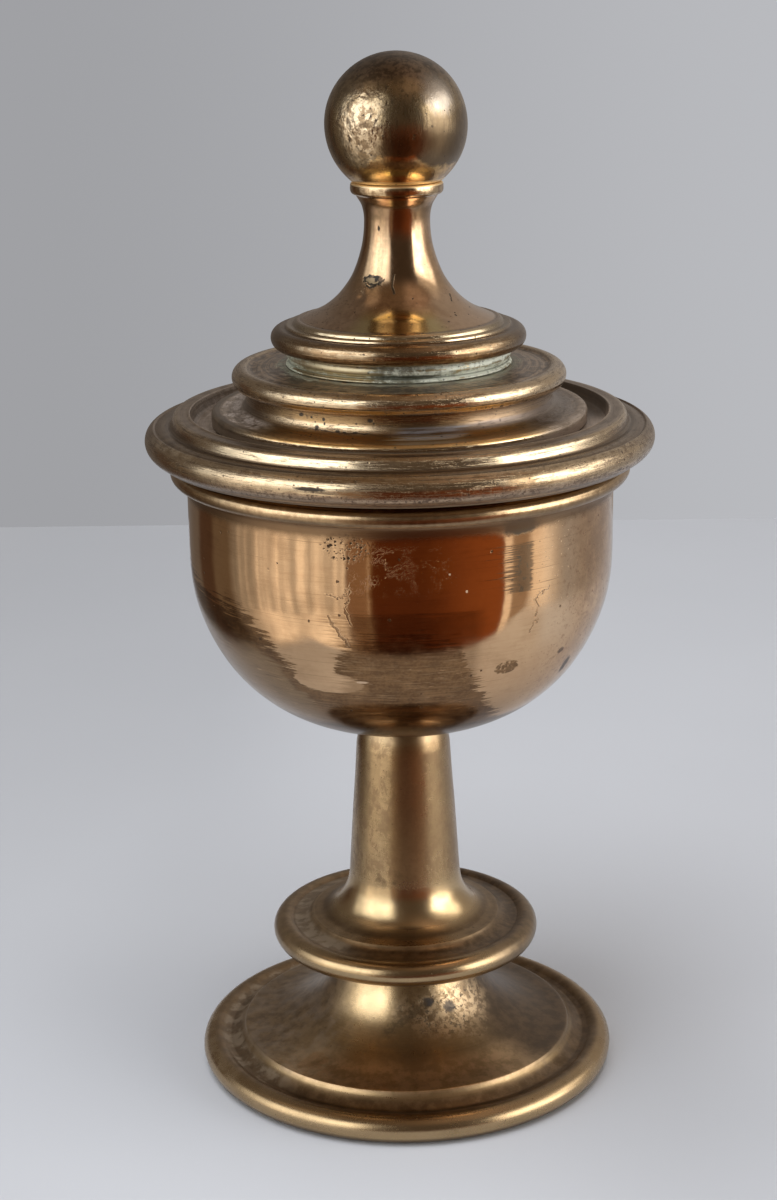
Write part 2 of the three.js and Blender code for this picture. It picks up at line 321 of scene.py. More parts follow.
finial = turned("finial_turned", [
    [(1.65, 73.05), (10.9, 73.05)],
    bead(11.04, 73.92, 0.98, -80, 90),
    sweep([(10.9, 74.89), (10.75, 74.89), (10.64, 74.92)]),
    bead(10.47, 75.05, 0.14, -20, 80, steps=12),
    sweep([(10.42, 75.18), (10.2, 75.17), (9.98, 75.14)]),
    sweep([(9.9, 75.16), (9.84, 75.34), (9.72, 75.52), (9.5, 75.62), (9.3, 75.63)]),
    sweep([(9.2, 75.6), (9.08, 75.64), (8.24, 76.02), (7.24, 76.5), (6.5, 77.0), (5.7, 77.7), (5.02, 78.5), (4.35, 79.5), (3.86, 80.6), (3.49, 81.7), (3.22, 82.85), (3.08, 84.2), (3.1, 85.3), (3.32, 86.2), (3.68, 86.8)]),
    sweep([(3.84, 87.08), (4.16, 87.2), (4.31, 87.42), (4.34, 87.68), (4.32, 87.95), (4.27, 88.13), (4.18, 88.21)]),
    [(4.1, 88.25), (1.65, 88.25)],
], soft=0.04, wobble=0.012, seed=19,
    dents=[(-40, 5.3, 78.2, 0.35, 0.10), (-33, 4.9, 78.9, 0.25, 0.07), (38, 7.4, 76.5, 0.28, 0.08)])

ball = turned("finial_ball_turned", [
    [(0.0, 94.2), (1.65, 94.0), (1.65, 88.3)],
    [(6.59 * math.sin(t), 93.41 - 6.59 * math.cos(t)) for t in np.linspace(0.6832, math.pi, 130)],
], soft=0.05, closed=False, wobble=0.03, seed=23)


def hex_nut(name, across, z0, z1, bore):
    n = 96
    a = np.arange(n) * 2 * math.pi / n
    flat = across / 2
    edge = flat / np.cos(((a + math.pi / 6) % (math.pi / 3)) - math.pi / 6)      # two corners on the x axis
    round_r = flat * 1.02
    drop = np.maximum(0, edge - round_r) * math.tan(math.radians(30))

    def row(r, z):
        r = np.broadcast_to(np.asarray(r, float), (n,))
        z = np.broadcast_to(np.asarray(z, float), (n,))
        return np.stack([r * np.sin(a), -r * np.cos(a), z], 1)

    e = 0.06
    rows = [row(bore, z0 + 0.35), row(bore + 0.3, z0), row(np.minimum(edge, round_r) - e, z0),
            row(np.minimum(edge, round_r), z0 + e * 0.4), row(edge - e * 0.4, z0 + drop + e * 0.3), row(edge, z0 + drop + e),
            row(edge, z1 - drop - e), row(edge - e * 0.4, z1 - drop - e * 0.3), row(np.minimum(edge, round_r), z1 - e * 0.4),
            row(np.minimum(edge, round_r) - e, z1), row(bore + 0.3, z1), row(bore, z1 - 0.35)]
    return rings_piece(name, rows)


def threaded_rod(name, radius, z0, z1, pitch):
    n, per = 48, 9
    a = np.arange(n) * 2 * math.pi / n
    rows = []
    steps = int((z1 - z0) / pitch * per)
    depth = 0.54 * pitch
    rows.append(np.stack([np.zeros(n), np.zeros(n), np.full(n, z0)], 1))
    for i in range(steps + 1):
        z = z0 + (z1 - z0) * i / steps
        u = (z / pitch - a / (2 * math.pi)) % 1.0
        cut = depth * np.clip(1.25 * np.abs(2 * u - 1) - 0.12, 0, 1)
        end = min(z - z0, z1 - z)
        r = np.minimum(radius - cut, radius - depth - 0.05 + end * 1.1)
        rows.append(np.stack([r * np.sin(a), -r * np.cos(a), np.full(n, z)], 1))
    rows.append(np.stack([np.zeros(n), np.zeros(n), np.full(n, z1)], 1))
    faces, verts = [], [[0, 0, z0]] + np.vstack(rows[1:-1]).tolist() + [[0, 0, z1]]
    m = len(rows) - 2
    for k in range(n):
        q = (k + 1) % n
        faces.append((0, 1 + q, 1 + k))
        faces.append((1 + (m - 1) * n + k, 1 + (m - 1) * n + q, 1 + m * n))
        for i in range(m - 1):
            faces.append((1 + i * n + k, 1 + i * n + q, 1 + (i + 1) * n + q, 1 + (i + 1) * n + k))
    return make_piece(name, verts, faces)


foot_washer = turned("foot_washer_turned", [[(2.15, 8.5), (4.5, 8.5), (4.5, 9.35), (2.15, 9.35)]], soft=0.07, wobble=0.01, seed=31, turns=128)
lid_washer = turned("lid_washer_turned", [[(1.65, 63.1), (3.5, 63.1), (3.5, 63.65), (1.65, 63.65)]], soft=0.06, wobble=0.01, seed=37, turns=128)
foot_nut = hex_nut("foot_nut_made", 7.0, 5.25, 8.45, 2.05)
lid_nut = hex_nut("lid_nut_made", 5.5, 60.65, 63.05, 1.55)
tie_rod = threaded_rod("tie_rod_threaded", 2.0, 3.6, 38.3, 0.7)
finial_rod = threaded_rod("finial_rod_threaded", 1.5, 60.0, 93.6, 0.5)

# where the outline of a piece turns from its seen to its unseen side
SKIN = {"foot": along("foot_turned", 6.3, 12.55), "stem": along("stem_turned", 7.2, 13.0), "bowl": along("bowl_turned", 20.5, 62.85)}

# ------------------------------------------------------------------ node helpers


class Value:
    """A node's output, with arithmetic."""

    def __init__(self, net, socket):
        self.net, self.socket = net, socket

    def __add__(self, o): return self.net.math("ADD", self, o)
    def __radd__(self, o): return self.net.math("ADD", o, self)
    def __sub__(self, o): return self.net.math("SUBTRACT", self, o)
    def __rsub__(self, o): return self.net.math("SUBTRACT", o, self)
    def __mul__(self, o): return self.net.math("MULTIPLY", self, o)
    def __rmul__(self, o): return self.net.math("MULTIPLY", o, self)
    def __truediv__(self, o): return self.net.math("DIVIDE", self, o)
    def __pow__(self, o): return self.net.math("POWER", self, o)
    def __neg__(self): return self.net.math("MULTIPLY", self, -1.0)


class Net:
    """Builds a node tree from expressions. Lengths are in mm, angles in degrees."""

    def __init__(self, tree):
        self.tree = tree
        tree.nodes.clear()

    def new(self, kind, **props):
        n = self.tree.nodes.new(kind)
        for k, v in props.items():
            setattr(n, k, v)
        return n

    def put(self, value, socket):
        if isinstance(value, Value):
            self.tree.links.new(value.socket, socket)
        elif isinstance(value, (tuple, list)) and len(value) == 3 and socket.type == "RGBA":
            socket.default_value = (*value, 1.0)
        else:
            socket.default_value = value

    def math(self, op, a, b=None, c=None, clamp=False):
        n = self.new("ShaderNodeMath", operation=op, use_clamp=clamp)
        for i, v in enumerate((a, b, c)):
            if v is not None:
                self.put(v, n.inputs[i])
        return Value(self, n.outputs[0])

    def clip(self, a): return self.math("ADD", a, 0.0, clamp=True)
    def low(self, a, b): return self.math("MINIMUM", a, b)
    def high(self, a, b): return self.math("MAXIMUM", a, b)
    def size(self, a): return self.math("ABSOLUTE", a)

    def smooth(self, v, lo, hi, a=0.0, b=1.0):
        n = self.new("ShaderNodeMapRange", interpolation_type="SMOOTHSTEP", clamp=True)
        for k, x in zip(("Value", "From Min", "From Max", "To Min", "To Max"), (v, lo, hi, a, b)):
            self.put(x, n.inputs[k])
        return Value(self, n.outputs[0])

    def vec(self, x, y, z):
        n = self.new("ShaderNodeCombineXYZ")
        for i, v in enumerate((x, y, z)):
            self.put(v, n.inputs[i])
        return Value(self, n.outputs[0])

    def split(self, v):
        n = self.new("ShaderNodeSeparateXYZ")
        self.put(v, n.inputs[0])
        return [Value(self, o) for o in n.outputs]

    def vmath(self, op, a, b=None, scale=None):
        n = self.new("ShaderNodeVectorMath", operation=op)
        self.put(a, n.inputs[0])
        if b is not None:
            self.put(b, n.inputs[1])
        if scale is not None:
            self.put(scale, n.inputs["Scale"])
        return Value(self, n.outputs[0])

    def noise(self, v, scale=1.0, detail=2.0, rough=0.5, distort=0.0, w=None):
        n = self.new("ShaderNodeTexNoise", noise_dimensions="4D" if w is not None else "3D")
        self.put(v, n.inputs["Vector"])
        if w is not None:
            self.put(w, n.inputs["W"])
        for k, x in (("Scale", scale), ("Detail", detail), ("Roughness", rough), ("Distortion", distort)):
            self.put(x, n.inputs[k])
        return Value(self, n.outputs[0])

    def cells(self, v, scale=1.0, feature="F1", randomness=1.0):
        n = self.new("ShaderNodeTexVoronoi", feature=feature)
        self.put(v, n.inputs["Vector"])
        self.put(scale, n.inputs["Scale"])
        self.put(randomness, n.inputs["Randomness"])
        return Value(self, n.outputs["Distance"]), Value(self, n.outputs["Color"])

    def attribute(self, name):
        n = self.new("ShaderNodeAttribute", attribute_name=name)
        return Value(self, n.outputs["Fac"])

    def mix(self, f, a, b):
        n = self.new("ShaderNodeMix", data_type="FLOAT")
        self.put(f, n.inputs[0]); self.put(a, n.inputs[2]); self.put(b, n.inputs[3])
        return Value(self, n.outputs[0])

    def blend(self, f, a, b, how="MIX"):
        n = self.new("ShaderNodeMix", data_type="RGBA", blend_type=how)
        self.put(f, n.inputs[0]); self.put(a, n.inputs[6]); self.put(b, n.inputs[7])
        return Value(self, n.outputs[2])

    def curve(self, v, points):
        """A smooth function of v through the points."""
        n = self.new("ShaderNodeFloatCurve")
        c = n.mapping.curves[0]
        x0, x1 = points[0][0], points[-1][0]
        y0, y1 = min(q[1] for q in points), max(q[1] for q in points)
        at = [((x - x0) / (x1 - x0), (y - y0) / (y1 - y0)) for x, y in points]
        c.points[0].location, c.points[-1].location = at[0], at[-1]
        for q in at[1:-1]:
            c.points.new(*q)
        for q in c.points:
            q.handle_type = "AUTO_CLAMPED"
        n.mapping.update()
        self.put((v - x0) * (1 / (x1 - x0)), n.inputs["Value"])
        return Value(self, n.outputs[0]) * (y1 - y0) + y0

    def ramp(self, f, *stops):
        n = self.new("ShaderNodeValToRGB")
        e = n.color_ramp.elements
        while len(e) > 1:
            e.remove(e[-1])
        for i, (at, c) in enumerate(stops):
            el = e[0] if i == 0 else e.new(at)
            el.position = at
            el.color = (*c, 1.0) if len(c) == 3 else c
        self.put(f, n.inputs[0])
        return Value(self, n.outputs[0])

    def bump(self, height, mm=1.0, after=None):
        """height in mm, as a relief."""
        n = self.new("ShaderNodeBump")
        n.inputs["Strength"].default_value = 1.0
        n.inputs["Distance"].default_value = MM * mm
        self.put(height, n.inputs["Height"])
        if after is not None:
            self.put(after, n.inputs["Normal"])
        return Value(self, n.outputs[0])


class Brass(Net):
    """The shared start of every brass: places in mm, and cylindrical places round the axis."""

    def __init__(self, name, turned_piece=True):
        self.mat = bpy.data.materials.new(name)
        self.mat.use_nodes = True
        super().__init__(self.mat.node_tree)
        co = self.new("ShaderNodeTexCoord")
        self.p = self.vmath("SCALE", Value(self, co.outputs["Object"]), scale=1000.0)
        self.x, self.y, self.z = self.split(self.p)
        self.r = self.math("SQRT", self.x * self.x + self.y * self.y + 1e-6)
        self.cos, self.sin = self.x / self.r, self.y / self.r
        self.az = self.math("ARCTAN2", self.x, -self.y) * (180 / math.pi)
        if turned_piece:
            self.s = self.attribute("of_s")
            self.hollow = self.attribute("of_hollow")
            self.sharp = self.attribute("of_sharp")

    def around(self, k, s_scale, detail=2.0, rough=0.5, distort=0.0):
        """Noise drawn out round the axis, as a lathe or a polishing cloth leaves it: k is how fast it changes round."""
        return self.noise(self.vec(self.cos * k, self.sin * k, 0.0), 1.0, detail, rough, distort, w=self.s * s_scale)

    def spot(self, az, h, wide, tall, fuzz=0.35, ragged=0.5, scale=1.6, height=None):
        """A ragged mask, 1 inside, at azimuth az and height h, wide and tall in mm (half sizes)."""
        u = (self.az - az) * (math.pi / 180) * self.r / wide
        v = ((self.z if height is None else height) - h) / tall
        d = self.math("SQRT", u * u + v * v)
        n = self.noise(self.p, scale, 3.0, 0.6) - 0.5
        return self.smooth(d + n * ragged * 2.0, 1.0 + fuzz, 1.0 - fuzz)

    def pits(self, scale, share, radius):
        """Small round marks of uneven size. A net of scale cells per mm is laid through the metal, and a share of its
        cells carry one; radius is in cells."""
        v = self.vmath("ADD", self.p, self.vmath("SCALE", self.vec(self.noise(self.p, scale * 1.7, 2.0, 0.6), self.noise(self.p, scale * 1.9, 2.0, 0.6), 0.0), scale=0.45 / scale))
        d, c = self.cells(v, scale)
        pick, big, _ = self.split(c)
        edge = self.smooth(big, 0.0, 1.0, radius * 0.45, radius)
        return self.smooth(d / edge, 1.25, 0.8) * self.smooth(pick, share + 0.01, share - 0.01)

    def stroke(self, r0, points, width, fuzz=0.4, rag=0.35):
        """1 on a thin uneven line through points (azimuth, height) on a wall of radius r0."""
        bend = (self.noise(self.p, 2.4, 3.0, 0.6) - 0.5) * rag
        u, v = self.az * (math.pi / 180 * r0) + bend, self.z - bend
        q = [(a * math.pi / 180 * r0, z) for a, z in points]
        best = None
        for (ax, ay), (bx, by) in zip(q, q[1:]):
            dx, dy = bx - ax, by - ay
            pu, pv = u - ax, v - ay
            t = self.clip((pu * dx + pv * dy) * (1 / (dx * dx + dy * dy)))
            eu, ev = pu - t * dx, pv - t * dy
            d = self.math("SQRT", eu * eu + ev * ev)
            best = d if best is None else self.low(best, d)
        return self.smooth(best, width * (1 + fuzz), width * (1 - fuzz))

    def finish(self, color, rough, normal=None, metal=1.0, **sockets):
        b = self.new("ShaderNodeBsdfPrincipled")
        self.put(color, b.inputs["Base Color"])
        self.put(rough, b.inputs["Roughness"])
        self.put(metal, b.inputs["Metallic"])
        if normal is not None:
            self.put(normal, b.inputs["Normal"])
        for k, v in sockets.items():
            b.inputs[k.replace("_", " ")].default_value = v
        out = self.new("ShaderNodeOutputMaterial")
        self.tree.links.new(b.outputs[0], out.inputs[0])
        return self.mat


# ------------------------------------------------------------------ materials (colours are linear reflectances)
BRIGHT = (0.80, 0.505, 0.275)
TAN = (0.52, 0.37, 0.205)
OLIVE = (0.34, 0.24, 0.12)
BROWN = (0.20, 0.115, 0.05)
BLACK = (0.035, 0.026, 0.018)
FILM = (0.24, 0.185, 0.145)       # the greyish film on faces that are never rubbed


class Look:
    """A brass in the making: colour, roughness, relief and share of metal, changed by one mark after another."""

    def __init__(self, m, color, rough, height, metal=1.0):
        self.m, self.color, self.rough, self.height, self.metal = m, color, rough, height, metal

    def mark(self, mask, color=None, strength=1.0, rough=None, deep=0.0, metal=None):
        m = self.m
        f = mask * strength
        if color is not None:
            self.color = m.blend(f, self.color, color)
        if rough is not None:
            self.rough = m.mix(f, self.rough, rough)
        if metal is not None:
            self.metal = m.mix(f, self.metal, metal)
        if deep:
            self.height = self.height - mask * deep
        return self

    def done(self, **sockets):
        m = self.m
        return m.finish(self.color, self.rough, m.bump(self.height), self.metal, **sockets)


def aged(m, bright, dull, deep, rough, spread=0.1, streaks=0.5, lines=0.0010, grain=0.0012, cavity=0.8, worn=0.4, shift=0.0, rubbed=None):
    """The brass under all the marks: a slow change of tone, streaks drawn out round the axis, grain, grime in the
    hollows and bare metal on the edges."""
    v = m.vmath("ADD", m.p, (shift, 0.7 * shift, -shift))
    big, fine, grit = m.noise(v, 0.17, 4.0, 0.55), m.noise(v, 1.3, 4.0, 0.65), m.noise(v, 7.0, 2.0, 0.6)
    drawn = m.around(2.2, 4.5, 5.0, 0.66)
    tone = m.smooth(big * 0.42 + fine * 0.2 + drawn * (0.3 * streaks) + grit * 0.08 + 0.15 * (1 - streaks), 0.40, 0.58)
    look = Look(m, m.blend(tone, bright, dull), m.mix(tone, rough, rough + spread) + (grit - 0.5) * 0.08, (fine - 0.5) * 0.004)
    cav = m.smooth(m.hollow + (fine - 0.5) * 0.06 + (drawn - 0.5) * 0.05, 0.015, 0.13)
    edge = m.smooth(m.sharp + (fine - 0.5) * 0.01, -0.003, -0.022)
    look.mark(cav, deep, cavity, rough=rough + spread + 0.12)
    look.mark(edge * m.smooth(fine * 0.5 + drawn * 0.5, 0.34, 0.50), rubbed or bright, worn, rough=rough * 0.8)
    look.mark(m.pits(1.9, 0.07, 0.20), deep, 0.65, rough=0.5, deep=0.004)
    look.height = look.height + (m.around(2.0, 9.0, 3.0, 0.6) - 0.5) * lines + (m.around(5.0, 24.0, 2.0, 0.6) - 0.5) * (lines * 0.5) + (grit - 0.5) * grain
    look.big, look.fine, look.grit, look.drawn, look.cav, look.edge = big, fine, grit, drawn, cav, edge
    return look


def foot_brass():
    m = Brass("foot_brass_aged_with_painted_light")
    look = aged(m, (0.50, 0.345, 0.175), (0.33, 0.22, 0.105), (0.14, 0.085, 0.038), 0.25, 0.11, streaks=0.45, lines=0.0014, grain=0.0030, worn=0.6, shift=3.0, rubbed=(0.58, 0.41, 0.23))
    sides = m.smooth(m.size(m.az + 4.0), 28.0, 66.0)
    cloud = m.smooth(m.noise(m.p, 0.5, 4.0, 0.6), 0.42, 0.62)
    upward = m.smooth(m.z, 9.5, 5.0) * m.smooth(m.s, SKIN["foot"] + 0.6, SKIN["foot"] - 0.6)
    bell = m.smooth(m.r, 16.9, 16.2) * m.smooth(m.s, SKIN["foot"] + 0.6, SKIN["foot"] - 0.6)
    blot = m.smooth(m.noise(m.p, 0.75, 5.0, 0.66), 0.38, 0.62)
    look.mark(bell * m.smooth(m.az, 26.0, 62.0), m.blend(blot, (0.16, 0.103, 0.06), (0.088, 0.058, 0.037)), 0.88, rough=0.38, metal=0.85)
    look.mark(bell * m.smooth(m.az, -34.0, -66.0), m.blend(blot, (0.33, 0.225, 0.13), (0.17, 0.115, 0.07)), 0.75, rough=0.36, metal=0.85)
    # painted reflection: the front of the bell, low down, painted lighter
    look.mark(bell * m.smooth(m.z, 4.9, 4.0) * m.smooth(m.size(m.az), 60.0, 40.0), m.blend(blot, (0.88, 0.60, 0.34), (0.58, 0.385, 0.20)), 0.8, rough=0.38)
    look.mark(m.smooth(m.r, 19.9, 19.2) * m.smooth(m.r, 16.6, 17.2) * m.smooth(m.z, 2.1, 2.4), m.blend(blot, (0.30, 0.195, 0.105), (0.16, 0.10, 0.05)), 0.75, rough=0.34)
    look.mark(cloud * sides * upward * (1 - bell), FILM, 0.22, rough=0.40, metal=0.6)
    look.mark(cloud * bell * m.smooth(m.az, -24.0, -50.0) * m.smooth(m.z, 8.5, 6.0), (0.30, 0.235, 0.185), 0.35, rough=0.42, metal=0.6)
    look.mark(m.smooth(m.r, 16.7, 17.1) * m.smooth(m.r, 19.0, 18.5) * m.smooth(m.z, 2.1, 2.4) * m.smooth(m.az, -34.0, -52.0) * m.smooth(cloud, 0.0, 0.8, 0.3, 1.0), (0.52, 0.41, 0.29), 0.7, rough=0.36, metal=0.85)
    # the tarnished patch on the right of the bell, with its dark specks
    patch = m.spot(30.0, 7.7, 5.2, 1.9, 0.4, 0.55, 0.7)
    look.mark(patch, m.blend(m.smooth(m.noise(m.p, 1.5, 4.0, 0.66), 0.44, 0.58), (0.66, 0.48, 0.29), (0.25, 0.165, 0.09)), 0.7, rough=0.32)
    look.mark(patch * m.smooth(m.noise(m.p, 2.3, 4.0, 0.7), 0.54, 0.62), (0.10, 0.068, 0.042), 0.85, rough=0.5, deep=0.006)
    look.mark(m.spot(16.0, 8.6, 0.55, 0.42, 0.3, 0.5, 2.2), (0.05, 0.045, 0.045), 0.9, rough=0.5, deep=0.012)
    look.mark(m.spot(31.0, 7.9, 0.6, 0.5, 0.3, 0.9, 3.0), (0.07, 0.06, 0.055), 0.8, rough=0.5, deep=0.01)
    look.mark(m.stroke(9.0, [(-12.0, 6.3), (-4.0, 7.1), (6.0, 7.9), (13.0, 8.5)], 0.28, 0.9, rag=1.2), (0.13, 0.088, 0.045), 0.7, rough=0.42)
    # painted highlight: the spot where the left light shows on the bell painted brighter
    look.mark(m.spot(-24.0, 8.4, 2.0, 1.4, 0.6, 0.3), (0.74, 0.53, 0.29), 0.75, rough=0.2)
    # painted shade: the lower edge of the bead, next to the floor, painted darker
    look.mark(m.smooth(m.r, 19.8, 20.3) * m.smooth(m.z, 1.0, 0.55), (0.19, 0.118, 0.056), 0.75, rough=0.4)
    under = m.smooth(m.s, SKIN["foot"] - 0.4, SKIN["foot"] + 0.4)
    look.mark(under, (0.26, 0.175, 0.085), 0.7, rough=0.42)
    return look.done(Coat_Weight=0.3, Coat_Roughness=0.35)


def stem_brass():
    m = Brass("stem_brass_aged_with_painted_light")
    look = aged(m, (0.56, 0.385, 0.20), (0.38, 0.255, 0.125), (0.14, 0.085, 0.04), 0.20, 0.11, streaks=0.6, lines=0.0016, grain=0.0028, worn=0.6, shift=11.0, rubbed=(0.60, 0.43, 0.235))
    sides = m.smooth(m.size(m.az), 26.0, 62.0)
    cloud = m.smooth(m.noise(m.p, 0.6, 4.0, 0.6), 0.42, 0.62)
    look.mark(cloud * sides * m.smooth(m.z, 17.0, 15.2), FILM, 0.22, rough=0.40, metal=0.6)
    blot = m.smooth(m.noise(m.p, 0.8, 5.0, 0.66), 0.38, 0.62)
    disc = m.smooth(m.z, 15.9, 15.3) * m.smooth(m.z, 12.6, 13.2)
    look.mark(disc * m.smooth(m.r, 12.5, 11.9) * m.smooth(m.az, -70.0, -20.0, 0.35, 1.0), m.blend(blot, (0.33, 0.215, 0.115), (0.175, 0.11, 0.055)), 0.75, rough=0.34)
    # painted shade: the underside of the knop's bead painted darker
    look.mark(m.smooth(m.r, 12.0, 12.5) * m.smooth(m.z, 13.6, 13.1), (0.19, 0.118, 0.056), 0.7, rough=0.4)
    look.mark(disc * m.smooth(m.az, 22.0, 60.0), m.blend(blot, (0.23, 0.155, 0.09), (0.125, 0.085, 0.052)), 0.75, rough=0.38, metal=0.85)
    look.mark(disc * m.smooth(m.az, -34.0, -66.0), m.blend(blot, (0.33, 0.22, 0.125), (0.18, 0.12, 0.07)), 0.6, rough=0.38, metal=0.85)
    look.mark(disc * m.smooth(m.r, 9.5, 9.9) * m.smooth(m.r, 11.4, 11.0) * m.smooth(m.az, -24.0, -42.0) * m.smooth(cloud, 0.0, 0.8, 0.4, 1.0), (0.56, 0.45, 0.32), 0.75, rough=0.34, metal=0.85)
    # mottled brown tarnish on the shaft, polished brighter where the fillet runs into the disc
    shaft = m.smooth(m.z, 19.5, 21.5)
    look.mark(shaft * m.smooth(m.noise(m.vec(m.x, m.y, m.z * 0.6), 1.15, 5.0, 0.70), 0.43, 0.62), (0.29, 0.175, 0.09), 0.70, rough=0.36)
    # painted reflection: the front of the shaft painted in the dark tone it mirrors there
    look.mark(shaft * m.smooth(m.size(m.az - 4.0), 26.0, 10.0), (0.35, 0.205, 0.08), 0.52, rough=0.34)
    look.mark(shaft * m.smooth(m.az, 20.0, 40.0), (0.34, 0.215, 0.105), 0.55, rough=0.30)
    look.mark(m.spot(-18.0, 20.8, 1.5, 0.9, 0.5, 0.8, 2.4) * m.smooth(look.fine, 0.46, 0.60), (0.16, 0.10, 0.05), 0.7, rough=0.45)
    look.mark(m.smooth(m.z, 20.6, 18.6) * m.smooth(m.z, 15.7, 16.6), (0.76, 0.545, 0.29), 0.7, rough=0.17)
    look.mark(m.smooth(m.z, 34.0, 35.0), (0.50, 0.36, 0.21), 0.4, rough=0.36)
    look.mark(m.smooth(m.s, SKIN["stem"] + 0.8, SKIN["stem"]), (0.26, 0.175, 0.085), 0.7, rough=0.42)
    return look.done(Coat_Weight=0.35, Coat_Roughness=0.3)


def bowl_brass():
    m = Brass("bowl_brass_aged_with_painted_light")
    big, fine = m.noise(m.p, 0.14, 4.0, 0.55), m.noise(m.p, 1.6, 4.0, 0.65)
    brushed = m.around(4.2, 3.6, 5.0, 0.70)
    hair = m.around(2.6, 15.0, 3.0, 0.6)
    tone = m.smooth(big * 0.55 + fine * 0.2 + brushed * 0.25, 0.36, 0.64)
    look = Look(m, m.blend(tone, (0.83, 0.545, 0.305), (0.72, 0.45, 0.245)), m.mix(tone, 0.055, 0.085), (fine - 0.5) * 0.0012)
    outside = m.smooth(m.s, SKIN["bowl"] + 0.4, SKIN["bowl"] - 0.4)
    wall = outside * m.smooth(m.z, 60.7, 60.4)

    # tarnish over the lower bowl, with an upper edge feathered by rubbing round and round
    edge = m.curve(m.az, [(-180, 51.5), (-120, 52.0), (-80, 52.6), (-65, 51.5), (-56, 51.2), (-46, 51.0), (-42, 50.0), (-37, 48.9), (-34, 47.4),
                          (-31, 46.6), (-27, 45.0), (-22, 44.9), (-19, 46.9), (-16, 48.8), (-10, 50.0), (-5, 50.3), (2, 50.4), (9, 50.3),
                          (14, 49.6), (17, 47.9), (19, 46.0), (22, 45.0), (26, 43.3), (31, 41.5), (38, 39.9), (50, 38.4), (85, 39.0),
                          (125, 46.5), (160, 51.0), (180, 51.5)])
    sway = (m.around(1.2, 0.8, 2.0, 0.5) - 0.5) * 1.6
    feather = (brushed - 0.5) * 8.5 + (m.around(16.0, 7.0, 3.0, 0.6) - 0.5) * 1.8 + (m.around(2.5, 8.0, 3.0, 0.6) - 0.5) * 3.4
    low = m.smooth(edge + sway + feather - m.z, -0.12, 0.14)
    window = m.spot(-21.5, 45.3, 3.3, 1.15, 0.25, 0.0)
    bare = m.smooth(window + (brushed - 0.5) * 2.4, 0.42, 0.58) * m.smooth(m.z, 43.4, 44.0)
    dashes = m.smooth(m.around(9.0, 4.5, 3.0, 0.6), 0.64, 0.69)
    low = low * (1 - bare) * (1 - dashes * 0.8)
    veil = m.smooth(m.z + (brushed - 0.5) * 2.5, 52.9, 52.1) * m.smooth(m.az + (brushed - 0.5) * 30.0, -20.0, -13.0) * m.smooth(m.az, 23.0, 18.0) * 0.55
    smear = m.spot(30.0, 46.3, 1.25, 0.72, 0.3, 0.0)
    smear = m.smooth(smear + (brushed - 0.5) * 2.0, 0.40, 0.60) * m.smooth(m.noise(m.p, 2.6, 3.0, 0.6), 0.34, 0.5)
    tarnish = m.high(m.high(low, smear), veil) * wall
    stain = m.noise(m.p, 0.55, 5.0, 0.66)
    grit = m.noise(m.p, 4.0, 3.0, 0.66)
    shade = m.blend(m.smooth(stain * 0.35 + brushed * 0.40 + grit * 0.25, 0.42, 0.58), (0.145, 0.070, 0.026), (0.285, 0.150, 0.060))
    pale = m.smooth(m.az + (brushed - 0.5) * 24.0, -22.0, -34.0) * m.smooth(m.z - edge + (brushed - 0.5) * 7.0, -2.2, -3.4)
    shade = m.blend(pale * 0.75, shade, (0.40, 0.265, 0.14))
    look.mark(tarnish, shade, 0.94, rough=m.mix(m.smooth(stain, 0.4, 0.6), 0.15, 0.23))

    look.mark(tarnish * m.smooth(m.around(6.0, 7.0, 4.0, 0.68), 0.55, 0.63), (0.50, 0.32, 0.165), 0.50, rough=0.16)
    look.mark(tarnish * m.smooth(m.around(5.0, 11.0, 4.0, 0.68), 0.55, 0.62), (0.11, 0.060, 0.026), 0.55, rough=0.26)
    # a thin brown haze that comes and goes over the polished part
    haze = m.smooth(m.noise(m.p, 0.33, 4.0, 0.6) + (brushed - 0.5) * 0.5, 0.50, 0.74) * wall
    look.mark(haze, (0.50, 0.30, 0.15), 0.36, rough=0.11)
    # fine scuffs over the dark part in front, and freckles on the right
    crawl = m.size(m.noise(m.p, 3.3, 2.0, 0.55) - 0.5)
    zone_up = m.smooth(m.az, -14.0, -9.0) * m.smooth(m.az, 17.0, 9.0) * m.smooth(m.z, 53.6, 55.4) * m.smooth(m.z, 59.2, 58.4)
    look.mark(zone_up * m.smooth(crawl, 0.024, 0.006) * m.smooth(m.noise(m.p, 0.8, 2.0, 0.5), 0.46, 0.56) * wall, (0.85, 0.52, 0.34), 0.42, rough=0.30, metal=0.8, deep=0.003)
    look.mark(m.smooth(m.az, 36.0, 48.0) * m.smooth(m.noise(m.p, 3.4, 4.0, 0.74), 0.55, 0.63) * wall, (0.36, 0.20, 0.105), 0.5, rough=0.26)
    look.mark(m.smooth(m.az, 30.0, 44.0) * m.pits(3.3, 0.24, 0.26) * wall, (0.22, 0.105, 0.05), 0.6, rough=0.4, deep=0.004)

    # painted highlight: a band on the right, where the right light shows, painted brighter
    look.mark(m.smooth(m.az, 36.0, 42.0) * m.smooth(m.az, 56.0, 48.0) * m.smooth(m.z, 46.0, 50.0) * wall, (0.90, 0.66, 0.43), 0.6)
